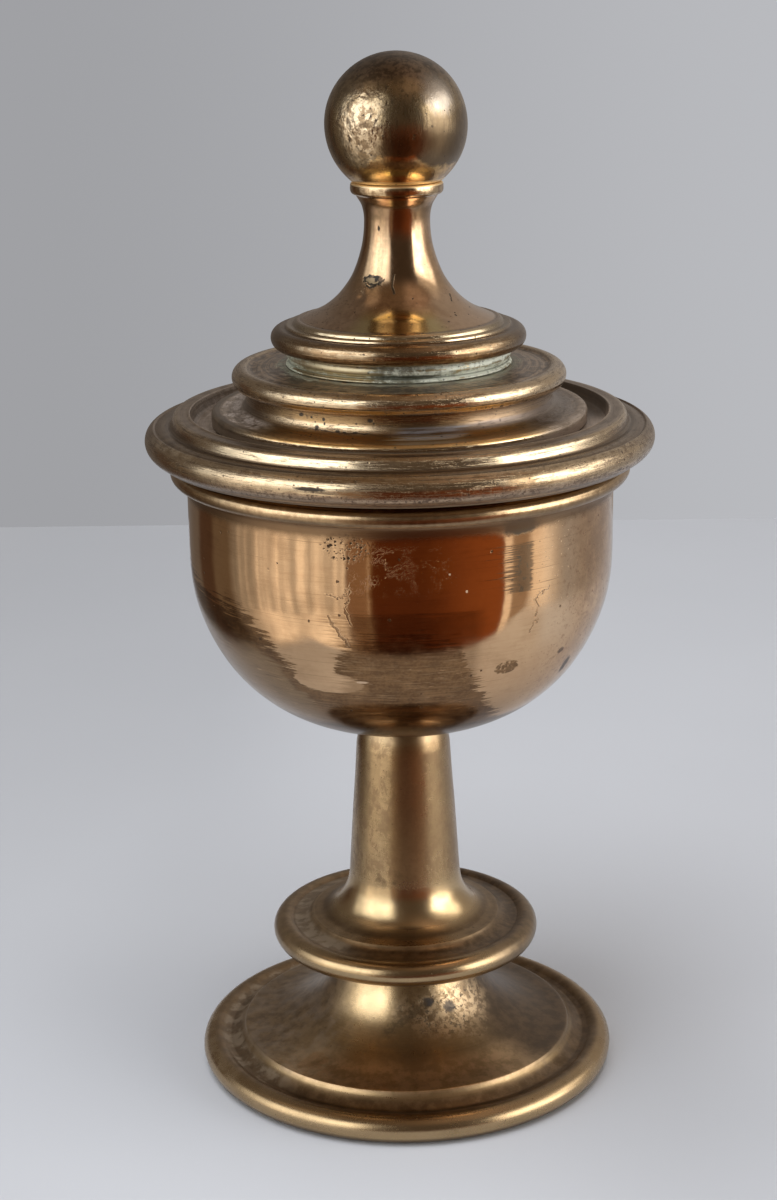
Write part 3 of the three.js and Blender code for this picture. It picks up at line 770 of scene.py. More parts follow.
    # the grey-green stain under the rim, the grey patch with its frayed left side and the brown dashes round both
    look.mark(m.spot(31.5, 59.75, 2.0, 0.74, 0.25, 0.40, 1.3) * wall, (0.052, 0.050, 0.040), 0.92, rough=0.42, metal=0.7)
    fray = (m.around(2.0, 8.0, 3.0, 0.6) - 0.5)
    grey = (m.smooth(m.az + fray * 26.0, 27.6, 29.6) * m.smooth(m.az + fray * 5.0, 35.6, 34.8)
            * m.smooth(m.z + fray * 1.4, 53.6, 53.9) * m.smooth(m.z + fray * 1.4, 58.3, 57.9))
    look.mark(grey * wall, (0.235, 0.165, 0.105), 0.80, rough=0.2)
    look.mark(grey * wall * m.smooth(m.noise(m.p, 1.7, 3.0, 0.6), 0.52, 0.64), (0.10, 0.085, 0.062), 0.7, rough=0.3)
    line = m.smooth(m.around(1.6, 7.5, 4.0, 0.62), 0.615, 0.66)
    zone = m.smooth(m.az, 18.0, 25.0) * m.smooth(m.az, 60.0, 46.0) * m.smooth(m.z, 50.5, 53.0)
    look.mark(line * zone * wall, (0.16, 0.09, 0.045), 0.72, rough=0.28)
    look.mark(m.smooth(m.around(1.2, 10.0, 3.0, 0.6), 0.63, 0.69) * wall, (0.33, 0.19, 0.09), 0.45, rough=0.2)
    top = m.smooth(m.z, 59.6, 60.5) * wall
    look.mark(top * m.smooth(m.around(1.4, 4.0, 4.0, 0.6), 0.40, 0.60), (0.33, 0.21, 0.10), 0.6, rough=0.22)

    # pits, worm-like marks and specks
    pock = m.spot(-13.7, 58.6, 2.1, 1.3, 0.2, 0.35, 1.2)
    look.mark(pock * m.pits(2.6, 0.85, 0.40) * wall, (0.04, 0.024, 0.012), 0.97, rough=0.5, deep=0.02)
    look.mark(pock * m.pits(4.1, 0.6, 0.36) * wall, (0.08, 0.045, 0.022), 0.9, rough=0.5, deep=0.01)
    look.mark(pock * m.smooth(m.noise(m.p, 3.4, 3.0, 0.6), 0.57, 0.63) * wall, (0.16, 0.09, 0.04), 0.7, rough=0.35, deep=0.006)
    rash = m.smooth(m.az, -9.0, -6.0) * m.smooth(m.az, 15.0, 11.0) * m.smooth(m.z, 54.0, 55.2) * m.smooth(m.z, 58.8, 58.2) * m.smooth(m.noise(m.p, 0.5, 2.0, 0.5), 0.46, 0.56)
    look.mark(rash * m.pits(2.7, 0.42, 0.34), (0.86, 0.58, 0.36), 0.5, rough=0.30, deep=0.008)
    for path, w in (([(-19.1, 54.2), (-15.1, 53.95), (-12.8, 55.3)], 0.045), ([(-12.8, 54.6), (-14.4, 53.0), (-13.0, 51.6)], 0.085),
                    ([(-18.5, 52.1), (-17.8, 51.3), (-16.5, 51.0), (-16.0, 50.3), (-14.7, 50.1), (-14.1, 49.5)], 0.10),
                    ([(40.9, 53.6), (36.2, 52.7), (37.7, 51.9), (36.4, 51.0)], 0.06), ([(37.7, 50.7), (35.8, 50.1), (35.3, 49.5)], 0.06)):
        rim = m.stroke(20.3, path, w * 2.1, 0.4, 0.9) * wall
        groove = m.stroke(20.3, path, w, 0.7, 0.9) * wall
        look.mark(rim, (0.86, 0.60, 0.36), 0.25, deep=-0.004)
        look.mark(groove, (0.25, 0.145, 0.07), 0.75, rough=0.3, deep=0.010)
    look.mark(m.pits(1.1, 0.10, 0.16) * wall, (0.10, 0.055, 0.028), 0.85, rough=0.4, deep=0.008)
    edge_right = m.smooth(m.az, 44.0, 62.0) * m.smooth(m.az, 130.0, 90.0)
    look.mark(edge_right * wall * m.smooth(m.noise(m.p, 0.7, 4.0, 0.66), 0.34, 0.60), (0.54, 0.335, 0.185), 0.8, rough=0.16)
    look.mark(m.smooth(m.az, 40.0, 50.0) * m.smooth(m.noise(m.p, 1.6, 4.0, 0.7), 0.54, 0.64) * wall, (0.44, 0.24, 0.13), 0.5, rough=0.2)
    look.mark(m.pits(1.8, 0.30, 0.22) * edge_right * wall, (0.19, 0.075, 0.035), 0.75, rough=0.4, deep=0.006)
    look.mark(m.spot(58.0, 44.3, 0.55, 0.85, 0.3, 0.5, 2.0) * wall, (0.06, 0.04, 0.03), 0.85, rough=0.4)
    look.mark(m.spot(50.5, 46.5, 0.45, 0.3, 0.3, 0.5, 2.0) * wall, (0.12, 0.07, 0.04), 0.8, rough=0.4)
    look.mark(m.spot(12.1, 56.1, 0.10, 0.09, 0.3, 0.0) * wall, (0.9, 0.72, 0.5), 0.8, rough=0.4, metal=0.3)
    look.mark(m.spot(16.5, 54.4, 0.11, 0.13, 0.3, 0.0) * wall, (0.9, 0.72, 0.5), 0.8, rough=0.4, metal=0.3)
    look.mark(m.spot(-11.4, 45.6, 0.55, 0.13, 0.3, 0.4, 2.0) * wall, (0.86, 0.6, 0.38), 0.9, rough=0.15)

    root = m.smooth(m.z + (brushed - 0.5) * 0.8, 40.2, 39.3) * outside
    look.mark(root, m.blend(m.smooth(stain, 0.4, 0.6), (0.19, 0.092, 0.021), (0.10, 0.052, 0.015)), 0.92, rough=0.27)
    # rim bead, brown with patina, brighter along its top; inside of the cup, plain and dull
    bead_zone = outside * m.smooth(m.z, 60.45, 60.7)
    patina = m.smooth(m.around(2.0, 4.0, 4.0, 0.62) * 0.5 + fine * 0.5, 0.36, 0.62)
    brown = m.blend(patina, (0.72, 0.515, 0.295), (0.37, 0.24, 0.125))
    look.mark(bead_zone, brown, 0.92, rough=0.27)
    look.mark(bead_zone * m.smooth(m.z, 61.55, 61.9) * m.smooth(fine, 0.42, 0.6), (0.60, 0.43, 0.25), 0.6, rough=0.2)
    look.mark(bead_zone * m.smooth(m.z, 61.6, 61.2), (0.17, 0.10, 0.05), 0.55, rough=0.34)
    inside = m.smooth(m.s, SKIN["bowl"] - 0.2, SKIN["bowl"] + 0.6)
    look.mark(inside, m.blend(m.smooth(big * 0.6 + fine * 0.4, 0.4, 0.6), (0.42, 0.30, 0.165), (0.27, 0.185, 0.095)), 0.95, rough=0.34)
    cav = m.smooth(m.hollow + (fine - 0.5) * 0.05, 0.03, 0.13)
    look.mark(cav, (0.15, 0.085, 0.04), 0.8, rough=0.4)
    look.height = look.height + (hair - 0.5) * 0.0007 + (m.around(2.0, 6.0, 3.0, 0.6) - 0.5) * 0.0009 + (m.noise(m.p, 0.28, 2.0, 0.5) - 0.5) * 0.02
    return look.done(Coat_Weight=0.25, Coat_Roughness=0.12)


def lid_brass(name, boss):
    m = Brass(name)
    look = aged(m, (0.53, 0.375, 0.215), (0.29, 0.19, 0.105), (0.125, 0.078, 0.042), 0.16, 0.12, streaks=0.9, lines=0.0022, grain=0.0020, cavity=0.85, worn=0.85, shift=-7.0, rubbed=(0.82, 0.63, 0.40))
    fine, grit, drawn = look.fine, look.grit, look.drawn
    # brown patina in drawn-out patches, and fine turned lines where it has worn through
    old = m.smooth(m.around(1.6, 2.6, 5.0, 0.70) * 0.65 + m.noise(m.p, 0.9, 4.0, 0.66) * 0.35 + look.edge * 0.07, 0.55, 0.45)
    look.mark(old, (0.18, 0.110, 0.056), 0.70, rough=0.32)
    thread = m.smooth(m.around(1.1, 8.5, 3.0, 0.6), 0.52, 0.60)
    look.mark(thread, (0.62, 0.47, 0.30), 0.32, rough=0.17)
    sides = m.smooth(m.size(m.az + 3.0), 40.0, 66.0)
    cloud = m.smooth(m.noise(m.p, 0.7, 4.0, 0.62), 0.40, 0.60)
    speck = m.pits(2.4, 0.30, 0.24)
    if boss:
        # the cove and the flange round it: brown in front, filmed at the sides, with a bluish painted reflection in one
        # place
        flange = m.smooth(m.r, 14.75, 15.3) * m.smooth(m.z, 66.9, 67.02) * m.smooth(m.z, 68.3, 67.9)
        look.mark(flange * m.smooth(m.size(m.az), 58.0, 36.0), (0.90, 0.54, 0.185), 0.82, rough=0.34)
        inner = m.smooth(m.r, 17.2, 16.6) * m.smooth(m.r, 14.7, 15.1) * m.smooth(m.z, 68.3, 67.8)
        look.mark(inner * m.smooth(m.az, -44.0, -60.0) * m.smooth(cloud, 0.0, 0.9, 0.45, 1.0), (0.50, 0.42, 0.37), 0.75, rough=0.5, metal=0.3)
        look.mark(inner * m.smooth(m.az, 40.0, 66.0) * m.smooth(cloud, 0.0, 0.9, 0.35, 1.0), (0.27, 0.225, 0.20), 0.75, rough=0.46, metal=0.45)
        lip = m.smooth(m.r, 16.7, 17.2) * m.smooth(m.z, 68.0, 67.6)
        look.mark(lip * m.smooth(m.az, -40.0, -62.0), m.blend(cloud, (0.13, 0.085, 0.05), (0.085, 0.056, 0.034)), 0.92, rough=0.42, metal=0.8)
        look.mark(lip * m.smooth(m.az, 36.0, 58.0), m.blend(cloud, (0.34, 0.265, 0.21), (0.19, 0.135, 0.095)), 0.9, rough=0.5, metal=0.5)
        look.mark(inner * m.smooth(m.size(m.az), 44.0, 62.0) * m.smooth(m.noise(m.p, 3.2, 3.0, 0.6), 0.50, 0.60), (0.13, 0.085, 0.05), 0.7, rough=0.5)
        cove = m.smooth(m.z, 67.5, 67.7) * m.smooth(m.z, 69.3, 69.0)
        look.mark(cove * m.smooth(m.az, 18.0, 34.0), (0.26, 0.205, 0.175), 0.55, rough=0.34, metal=0.7)
        look.mark(cove * m.smooth(m.az, 4.0, -8.0) * m.smooth(m.az, -60.0, -45.0), (0.58, 0.35, 0.135), 0.55, rough=0.24)
        # painted reflection: a bluish-grey patch on the front of the flange
        blue = m.smooth(m.az + (drawn - 0.5) * 30.0, -5.0, 3.0) * m.smooth(m.az + (drawn - 0.5) * 40.0, 26.0, 18.0) * m.smooth(m.z, 67.05, 67.35) * m.smooth(m.z, 68.35, 67.95)
        look.mark(blue * m.smooth(m.around(1.6, 5.0, 4.0, 0.64), 0.40, 0.58), (0.28, 0.275, 0.30), 0.8, rough=0.34, metal=0.6)
        look.mark(m.smooth(m.z, 68.1, 68.35) * m.smooth(m.z, 69.3, 69.1) * m.smooth(m.r, 15.2, 14.8), (0.30, 0.18, 0.075), 0.65, rough=0.24)
        # painted highlight: the lower cove painted brighter on the left and front, where the left light shows
        look.mark(m.smooth(m.z, 67.6, 67.75) * m.smooth(m.z, 68.4, 68.15) * m.smooth(m.az, -62.0, -46.0) * m.smooth(m.az, 2.0, -10.0), (0.80, 0.60, 0.38), 0.7, rough=0.2)
        for az, h, w, t in ((-10.4, 68.78, 0.28, 0.17), (-30.4, 67.88, 0.2, 0.22), (-28.1, 68.63, 0.13, 0.16), (-27.6, 68.25, 0.09, 0.12), (-21.9, 67.74, 0.24, 0.08), (-19.3, 67.70, 0.2, 0.06), (-15.6, 67.70, 0.26, 0.10), (-37.8, 68.8, 0.24, 0.17), (-33.2, 68.7, 0.12, 0.12), (-9.0, 68.5, 0.09, 0.12), (36.0, 69.6, 0.2, 0.12)):
            look.mark(m.spot(az, h, w, t, 0.3, 0.6, 3.0), BLACK, 0.95, rough=0.5, deep=0.012)
        look.mark(m.stroke(14.7, [(-34.0, 67.72), (-24.0, 67.66), (-10.0, 67.66)], 0.045, 0.6), (0.07, 0.045, 0.025), 0.85, rough=0.5, deep=0.006)
        # the side that stands in the trough
        look.mark(m.smooth(m.r, 17.5, 17.65) * m.smooth(m.z, 66.72, 66.58), m.blend(m.smooth(m.az, 20.0, 50.0), (0.115, 0.078, 0.048), (0.27, 0.20, 0.15)), 0.92, rough=0.5, metal=0.5)
        # face of the disc: thin turned rings, dull, mauve-grey at the sides; green spilt from the joint
        face = m.smooth(m.z, 70.7, 70.95) * m.smooth(m.r, 14.5, 14.1)
        rings = m.noise(m.vec(m.r * 3.4, m.cos * 0.9, m.sin * 0.9), 1.0, 3.0, 0.6)
        look.mark(face, m.blend(m.smooth(rings * 0.45 + m.noise(m.p, 0.9, 5.0, 0.70) * 0.55, 0.46, 0.54), (0.47, 0.325, 0.195), (0.105, 0.064, 0.036)), 0.9, rough=0.32, metal=0.92)
        look.mark(face * sides * cloud, (0.30, 0.25, 0.215), 0.45, rough=0.46, metal=0.5)
        look.height = look.height + face * (m.smooth(rings, 0.42, 0.58) - 0.5) * 0.02
        spill = m.smooth(m.r + (m.noise(m.p, 0.9, 4.0, 0.65) - 0.5) * 2.6, 11.7, 11.25) * m.smooth(m.z, 70.6, 70.9)
        look.mark(spill * m.smooth(fine, 0.36, 0.5), (0.29, 0.31, 0.235), 0.7, rough=0.6, metal=0.15)
        bead_low = m.smooth(m.z, 69.2, 69.5) * m.smooth(m.z, 71.0, 70.7)
        look.mark(bead_low * m.pits(2.6, 0.34, 0.3) * m.smooth(m.az, -30.0, 20.0), (0.075, 0.045, 0.025), 0.75, rough=0.5, deep=0.006)
        # painted shade: the underside of the disc's bead painted darker
        look.mark(m.smooth(m.z, 69.75, 69.35) * m.smooth(m.z, 69.0, 69.15), (0.19, 0.10, 0.05), 0.75, rough=0.3)
        hidden = m.smooth(m.r, 9.9, 9.6)
    else:
        # greyish film on the flat of the ring and the top of the bead, towards the sides
        ring = m.smooth(m.r, 19.75, 19.95) * m.smooth(m.r, 21.3, 21.1) * m.smooth(m.z, 66.6, 66.8)
        look.mark(ring, (0.22, 0.148, 0.088), 0.6, rough=0.34)
        look.mark(ring * sides * m.smooth(cloud, 0.0, 0.9, 0.3, 1.0), (0.27, 0.205, 0.16), 0.45, rough=0.44, metal=0.6)
        bead_top = m.smooth(m.r, 22.0, 22.3) * m.smooth(m.z, 65.2, 65.6)
        look.mark(bead_top * sides * cloud, (0.24, 0.185, 0.15), 0.40, rough=0.44, metal=0.6)
        # painted shade: the top of the bead darker towards the far sides
        look.mark(bead_top * m.smooth(m.size(m.az), 50.0, 80.0), (0.15, 0.098, 0.055), 0.55, rough=0.38)
        look.mark(m.smooth(m.r, 21.6, 21.9) * m.smooth(m.r, 23.3, 23.0) * m.smooth(m.z, 65.0, 65.3), (0.20, 0.132, 0.07), 0.6, rough=0.28)
        # the lower half of the bead is rubbed pinkish and pocked
        low = m.smooth(m.r, 22.0, 22.6) * m.smooth(m.z + (drawn - 0.5) * 1.0, 64.35, 63.95)
        look.mark(low, (0.40, 0.26, 0.17), 0.6, rough=0.3)
        look.mark(low * m.smooth(m.noise(m.p, 3.0, 4.0, 0.7), 0.52, 0.60), (0.12, 0.07, 0.04), 0.75, rough=0.5, deep=0.006)
        # painted shade: the underside of the plate and bead, over the gap to the bowl's rim, painted dark
        look.mark(m.smooth(m.r, 21.0, 21.6) * m.smooth(m.z, 63.75, 63.4), (0.16, 0.095, 0.05), 0.6, rough=0.4)
        bead_all = m.smooth(m.r, 22.4, 22.8)
        # painted shade: the bead darker towards the far sides
        look.mark(bead_all * m.smooth(m.size(m.az), 64.0, 84.0), m.blend(cloud, (0.27, 0.175, 0.10), (0.14, 0.088, 0.048)), 0.6, rough=0.36)
        # painted highlight: the steep outer side of the ring painted brighter in front
        look.mark(m.smooth(m.r, 21.95, 21.7) * m.smooth(m.r, 21.3, 21.45) * m.smooth(m.z, 65.95, 66.1) * m.smooth(m.size(m.az), 66.0, 50.0), (0.84, 0.66, 0.43), 0.75, rough=0.13)
        look.mark(bead_all * m.smooth(m.az, 38.0, 56.0) * m.pits(1.4, 0.32, 0.24), (0.055, 0.035, 0.022), 0.9, rough=0.5, deep=0.012)
        look.mark(bead_all * m.smooth(m.az, 25.0, 60.0) * m.smooth(m.noise(m.p, 1.9, 4.0, 0.7), 0.52, 0.60), (0.17, 0.10, 0.055), 0.7, rough=0.45)
        look.mark(bead_all * m.spot(-18.6, 64.68, 1.3, 0.17, 0.3, 0.5, 2.0), (0.035, 0.024, 0.016), 0.97, rough=0.5, deep=0.015)
        look.mark(bead_all * m.spot(26.0, 64.9, 1.6, 0.5, 0.4, 0.7, 1.8), (0.28, 0.16, 0.06), 0.6, rough=0.3)
        # the trough, with dust in it, and painted shade behind on the right
        trough = m.smooth(m.r, 19.95, 19.85) * m.smooth(m.z, 65.4, 65.6)
        look.mark(trough, m.blend(m.smooth(fine * 0.5 + drawn * 0.5, 0.40, 0.60), (0.26, 0.20, 0.16), (0.12, 0.084, 0.058)), 0.9, rough=0.55, metal=0.35)
        look.mark(trough * m.smooth(m.az, 50.0, 70.0) * m.smooth(m.az, 96.0, 84.0), (0.33, 0.25, 0.19), 0.7, rough=0.6, metal=0.2)
        # painted shade: the trough behind on the right painted dark
        look.mark(trough * m.smooth(m.az, 82.0, 98.0), (0.070, 0.048, 0.032), 0.92, rough=0.5, metal=0.5)
        hidden = m.smooth(m.z, 63.2, 62.9)
    fleck = m.smooth(m.around(9.0, 9.0, 4.0, 0.74), 0.54, 0.61)
    look.mark(fleck, (0.10, 0.060, 0.031), 0.68, rough=0.42, deep=0.004)
    look.mark(m.smooth(m.around(5.0, 6.0, 4.0, 0.72), 0.57, 0.64) * m.smooth(look.grit, 0.42, 0.56), (0.085, 0.052, 0.028), 0.6, rough=0.45, deep=0.004)
    look.mark(speck, (0.085, 0.052, 0.03), 0.8, rough=0.5, deep=0.006)
    look.mark(hidden, (0.25, 0.17, 0.09), 0.8, rough=0.4)
    return look.done(Coat_Weight=0.6, Coat_Roughness=0.3)


def collar_verdigris():
    m = Brass("collar_verdigris")
    fine, drawn = m.noise(m.p, 1.5, 5.0, 0.68), m.around(2.2, 3.6, 4.0, 0.65)
    pale = m.blend(m.smooth(m.az, -28.0, 12.0), (0.64, 0.65, 0.52), (0.86, 0.89, 0.77))
    crust = m.blend(m.smooth(fine * 0.5 + drawn * 0.5, 0.44, 0.60), pale, (0.24, 0.27, 0.20))
    look = Look(m, crust, 0.52 + (fine - 0.5) * 0.3, (fine - 0.5) * 0.03 + (m.noise(m.p, 4.0, 3.0, 0.6) - 0.5) * 0.008, 0.22)
    # brass shows through, mostly on the left
    bare = m.smooth(drawn * 0.6 + fine * 0.4 + m.smooth(m.az, 5.0, -30.0, 0.0, 0.13) * m.smooth(m.az, -75.0, -50.0), 0.52, 0.58)
    look.mark(bare, (0.50, 0.39, 0.22), 0.85, rough=0.24, metal=0.95)
    look.mark(m.smooth(m.size(m.az + 2.0), 16.0, 6.0) * m.smooth(fine, 0.38, 0.55), (0.20, 0.185, 0.125), 0.75, rough=0.5)
    look.mark(m.spot(4.0, 71.85, 3.2, 0.2, 0.3, 0.6, 1.4), (0.085, 0.09, 0.07), 0.85, rough=0.5)
    look.mark(m.smooth(m.hollow, 0.02, 0.09), (0.11, 0.12, 0.085), 0.7, rough=0.6)
    look.mark(m.pits(2.2, 0.2, 0.25), (0.06, 0.06, 0.04), 0.7, rough=0.6, deep=0.008)
    return look.done(Coat_Weight=0.15, Coat_Roughness=0.3)


def finial_brass():
    m = Brass("finial_brass_aged_with_painted_light")
    look = aged(m, (0.76, 0.50, 0.285), (0.60, 0.40, 0.22), (0.19, 0.115, 0.055), 0.105, 0.07, streaks=0.4, lines=0.0006, grain=0.0008, cavity=0.75, worn=0.3, shift=19.0)
    # the disc has more patina than the trumpet; its two small steps are rubbed bright
    disc = m.smooth(m.z, 75.72, 75.62) * m.smooth(m.z, 72.9, 73.0)
    look.mark(disc, m.blend(m.smooth(look.fine * 0.5 + look.drawn * 0.5, 0.42, 0.58), (0.34, 0.22, 0.112), (0.135, 0.078, 0.036)), 0.88, rough=0.22)
    look.mark(m.smooth(m.z, 75.08, 75.2) * m.smooth(m.z, 75.66, 75.58) * m.smooth(m.r, 9.45, 9.6), (0.82, 0.66, 0.43), 0.85, rough=0.12)
    look.mark(m.smooth(m.r, 10.5, 10.56) * m.smooth(m.z, 74.95, 75.0), (0.80, 0.62, 0.40), 0.8, rough=0.14)
    look.mark(disc * m.smooth(m.r, 11.2, 11.6) * m.smooth(look.drawn * 0.6 + look.fine * 0.4, 0.46, 0.54) * m.smooth(m.size(m.az), 74.0, 58.0), (0.76, 0.57, 0.35), 0.6, rough=0.15)
    # painted shade: the disc darker towards the far sides
    look.mark(disc * m.smooth(m.size(m.az), 44.0, 72.0), (0.12, 0.08, 0.05), 0.65, rough=0.36, metal=0.9)
    look.mark(disc * m.smooth(m.around(12.0, 12.0, 3.0, 0.7), 0.56, 0.64), (0.11, 0.066, 0.034), 0.5, rough=0.42, deep=0.003)
    look.mark(disc * m.pits(2.3, 0.30, 0.24), (0.08, 0.045, 0.025), 0.85, rough=0.5, deep=0.006)
    skirt = m.smooth(m.z, 79.2, 77.8) * m.smooth(m.z, 75.55, 75.75)
    look.mark(skirt, m.blend(m.smooth(look.fine, 0.40, 0.60), (0.64, 0.43, 0.265), (0.49, 0.31, 0.18)), 0.75, rough=0.15)
    look.mark(skirt * m.smooth(m.az, -36.0, -72.0), (0.74, 0.55, 0.39), 0.75, rough=0.28)
    # painted light: the right side of the skirt painted brighter
    look.mark(skirt * m.smooth(m.az, 26.0, 50.0), (0.74, 0.52, 0.34), 0.6, rough=0.17)
    # painted glints: the front of the skirt, low down, painted golden
    look.mark(m.smooth(m.z, 77.6, 76.4) * m.smooth(m.z, 75.55, 75.7) * m.smooth(m.size(m.az), 36.0, 22.0), (0.66, 0.52, 0.235), 0.8, rough=0.13)
    look.mark(m.smooth(m.z, 82.0, 75.5) * m.smooth(m.z, 75.3, 75.6) * m.pits(2.3, 0.30, 0.20), (0.12, 0.065, 0.035), 0.85, rough=0.4, deep=0.006)
    look.mark(skirt * m.pits(1.5, 0.34, 0.20), (0.05, 0.03, 0.02), 0.9, rough=0.5, deep=0.01)
    look.mark(skirt * m.smooth(m.az, -20.0, -50.0) * m.smooth(m.noise(m.p, 2.2, 4.0, 0.68), 0.56, 0.64), (0.20, 0.12, 0.07), 0.6, rough=0.34)
    # painted reflection: the front of the neck painted darker
    look.mark(m.smooth(m.z, 78.5, 80.0) * m.smooth(m.size(m.az - 4.0), 34.0, 14.0) * m.smooth(m.z, 87.0, 86.5), (0.50, 0.32, 0.185), 0.6, rough=0.14)
    look.mark(m.smooth(m.z, 78.5, 80.0) * m.smooth(m.az, -52.0, -78.0) * m.smooth(m.z, 87.0, 86.5), (0.34, 0.22, 0.12), 0.7, rough=0.2)
    # painted reflection: the front of the neck painted darker still, lower down
    look.mark(m.smooth(m.z, 79.3, 80.2) * m.smooth(m.z, 84.4, 82.6) * m.smooth(m.size(m.az - 3.0), 24.0, 12.0), (0.27, 0.17, 0.09), 0.55, rough=0.14)
    # chips with dark outlines, left of the neck, and single black specks
    chip = m.spot(-32.0, 79.65, 1.0, 0.50, 0.14, 0.9, 2.4)
    look.mark(chip, (0.22, 0.165, 0.09), 0.8, rough=0.34)
    ring = chip * (1 - m.spot(-33.5, 79.62, 0.66, 0.28, 0.14, 0.9, 2.4))
    look.mark(ring, (0.03, 0.022, 0.014), 0.97, rough=0.5, deep=0.02)
    look.mark(m.spot(-27.5, 79.75, 0.20, 0.26, 0.3, 0.6, 3.0), (0.03, 0.022, 0.015), 0.97, rough=0.5, deep=0.015)
    look.mark(m.stroke(4.4, [(-40.0, 79.15), (-34.0, 79.0), (-26.0, 79.2)], 0.09, 0.5), (0.03, 0.022, 0.014), 0.95, rough=0.5, deep=0.012)
    look.mark(m.spot(-33.0, 84.25, 0.11, 0.24, 0.3, 0.8, 3.0), (0.035, 0.025, 0.015), 0.95, rough=0.5, deep=0.01)
    look.mark(m.stroke(4.2, [(-5.0, 80.2), (-7.0, 79.2), (-4.0, 78.6)], 0.10, 0.5), (0.04, 0.028, 0.018), 0.9, rough=0.5, deep=0.01)
    look.mark(m.stroke(6.0, [(58.0, 77.6), (64.0, 78.1)], 0.08, 0.5), (0.04, 0.028, 0.018), 0.95, rough=0.5, deep=0.012)
    neck = m.smooth(m.z, 78.8, 80.6) * m.smooth(m.z, 87.2, 86.6)
    look.mark(neck * m.smooth(m.noise(m.vec(m.x * 1.6, m.y * 1.6, m.z * 0.8), 1.0, 4.0, 0.66), 0.48, 0.62), (0.48, 0.30, 0.175), 0.55, rough=0.18)
    # painted light: the top edge at the joint with the ball painted bright, so the joint shows no dark line
    look.mark(m.smooth(m.z, 87.95, 88.1), (0.96, 0.72, 0.40), 0.95, rough=0.5)
    look.mark(m.smooth(m.z, 86.95, 87.15) * m.smooth(m.z, 88.1, 87.95), m.blend(m.smooth(look.fine, 0.42, 0.6), (0.66, 0.50, 0.30), (0.27, 0.17, 0.09)), 0.75, rough=0.18)
    return look.done(Coat_Weight=0.4, Coat_Roughness=0.2)


def ball_brass():
    m = Brass("ball_brass_aged_with_painted_light")
    big, fine, grit = m.noise(m.p, 0.3, 4.0, 0.58), m.noise(m.p, 1.5, 4.0, 0.66), m.noise(m.p, 6.0, 2.0, 0.6)
    up = m.noise(m.vec(m.x * 3.2, m.y * 3.2, m.z * 0.55), 1.0, 4.0, 0.66)
    tone = m.smooth(big * 0.35 + fine * 0.25 + up * 0.40, 0.40, 0.60)
    look = Look(m, m.blend(tone, (0.45, 0.325, 0.175), (0.22, 0.148, 0.072)), m.mix(tone, 0.21, 0.30), (fine - 0.5) * 0.006 + (up - 0.5) * 0.016 + (grit - 0.5) * 0.003)
    look.mark(m.smooth(m.z + (big - 0.5) * 3.0, 96.0, 98.4), m.blend(m.smooth(fine, 0.42, 0.58), (0.24, 0.165, 0.105), (0.09, 0.058, 0.033)), 0.85, rough=0.38)
    look.mark(m.smooth(m.noise(m.vec(m.x * 2.2, m.y * 2.2, m.z * 0.5), 1.0, 4.0, 0.66), 0.54, 0.66), (0.095, 0.064, 0.034), 0.7, rough=0.36)
    # dark under the girth in front
    look.mark(m.smooth(m.z + (big - 0.5) * 2.0, 93.6, 92.2) * m.smooth(m.az, -22.0, -8.0) * m.smooth(m.az, 80.0, 55.0), (0.14, 0.085, 0.038), 0.65, rough=0.24)
    # on the right, a painted highlight: a whitish spot, with the metal below it darker, partly patina and partly
    # painted shade
    right = m.smooth(m.az, 12.0, 26.0) * m.smooth(m.az, 100.0, 74.0)
    look.mark(right * m.smooth(m.z + (up - 0.5) * 1.6, 95.4, 94.4), (0.16, 0.105, 0.055), 0.65, rough=0.30)
    look.mark(m.spot(43.0, 96.4, 1.7, 1.5, 0.5, 0.3, 1.4), (0.56, 0.48, 0.40), 0.75, rough=0.21)
    # the dappled place on the left, beaten in small facets; its brighter colour, where the left light shows, is a
    # painted highlight
    dapple = m.spot(-31.0, 93.7, 2.1, 2.8, 0.5, 0.6, 0.7)
    v = m.vmath("ADD", m.p, (4.0, 1.0, 0.0))
    facet, shade = m.noise(v, 1.0, 2.0, 0.5), m.noise(v, 1.5, 3.0, 0.6)
    look.mark(dapple, m.blend(m.smooth(shade, 0.44, 0.56), (0.76, 0.585, 0.385), (0.27, 0.175, 0.095)), 0.85, rough=0.15)
    look.height = look.height + dapple * ((facet - 0.5) * 0.22 + (m.noise(v, 2.1, 1.0, 0.5) - 0.5) * 0.09)
    # polished again under the girth, down to the joint
    low = m.smooth(m.z + (fine - 0.5) * 0.9 - m.smooth(m.size(m.az), 34.0, 12.0, 0.0, 1.1), 90.2, 89.8)
    look.mark(low, m.blend(m.smooth(fine, 0.42, 0.62), (0.72, 0.46, 0.20), (0.42, 0.25, 0.105)), 0.85, rough=0.12)
    # painted glints: the front of the lowest band painted brighter and more golden
    look.mark(m.smooth(m.z, 90.1, 89.7) * m.smooth(m.size(m.az), 44.0, 30.0), (0.95, 0.66, 0.24), 0.6, rough=0.07)
    # painted light: the edge at the joint painted bright, so the joint shows no dark line
    look.mark(m.smooth(m.z, 88.75, 88.5), (0.96, 0.72, 0.40), 0.9, rough=0.45)
    look.mark(m.pits(1.8, 0.14, 0.2), (0.07, 0.045, 0.025), 0.8, rough=0.5, deep=0.006)
    return look.done(Coat_Weight=0.5, Coat_Roughness=0.3)


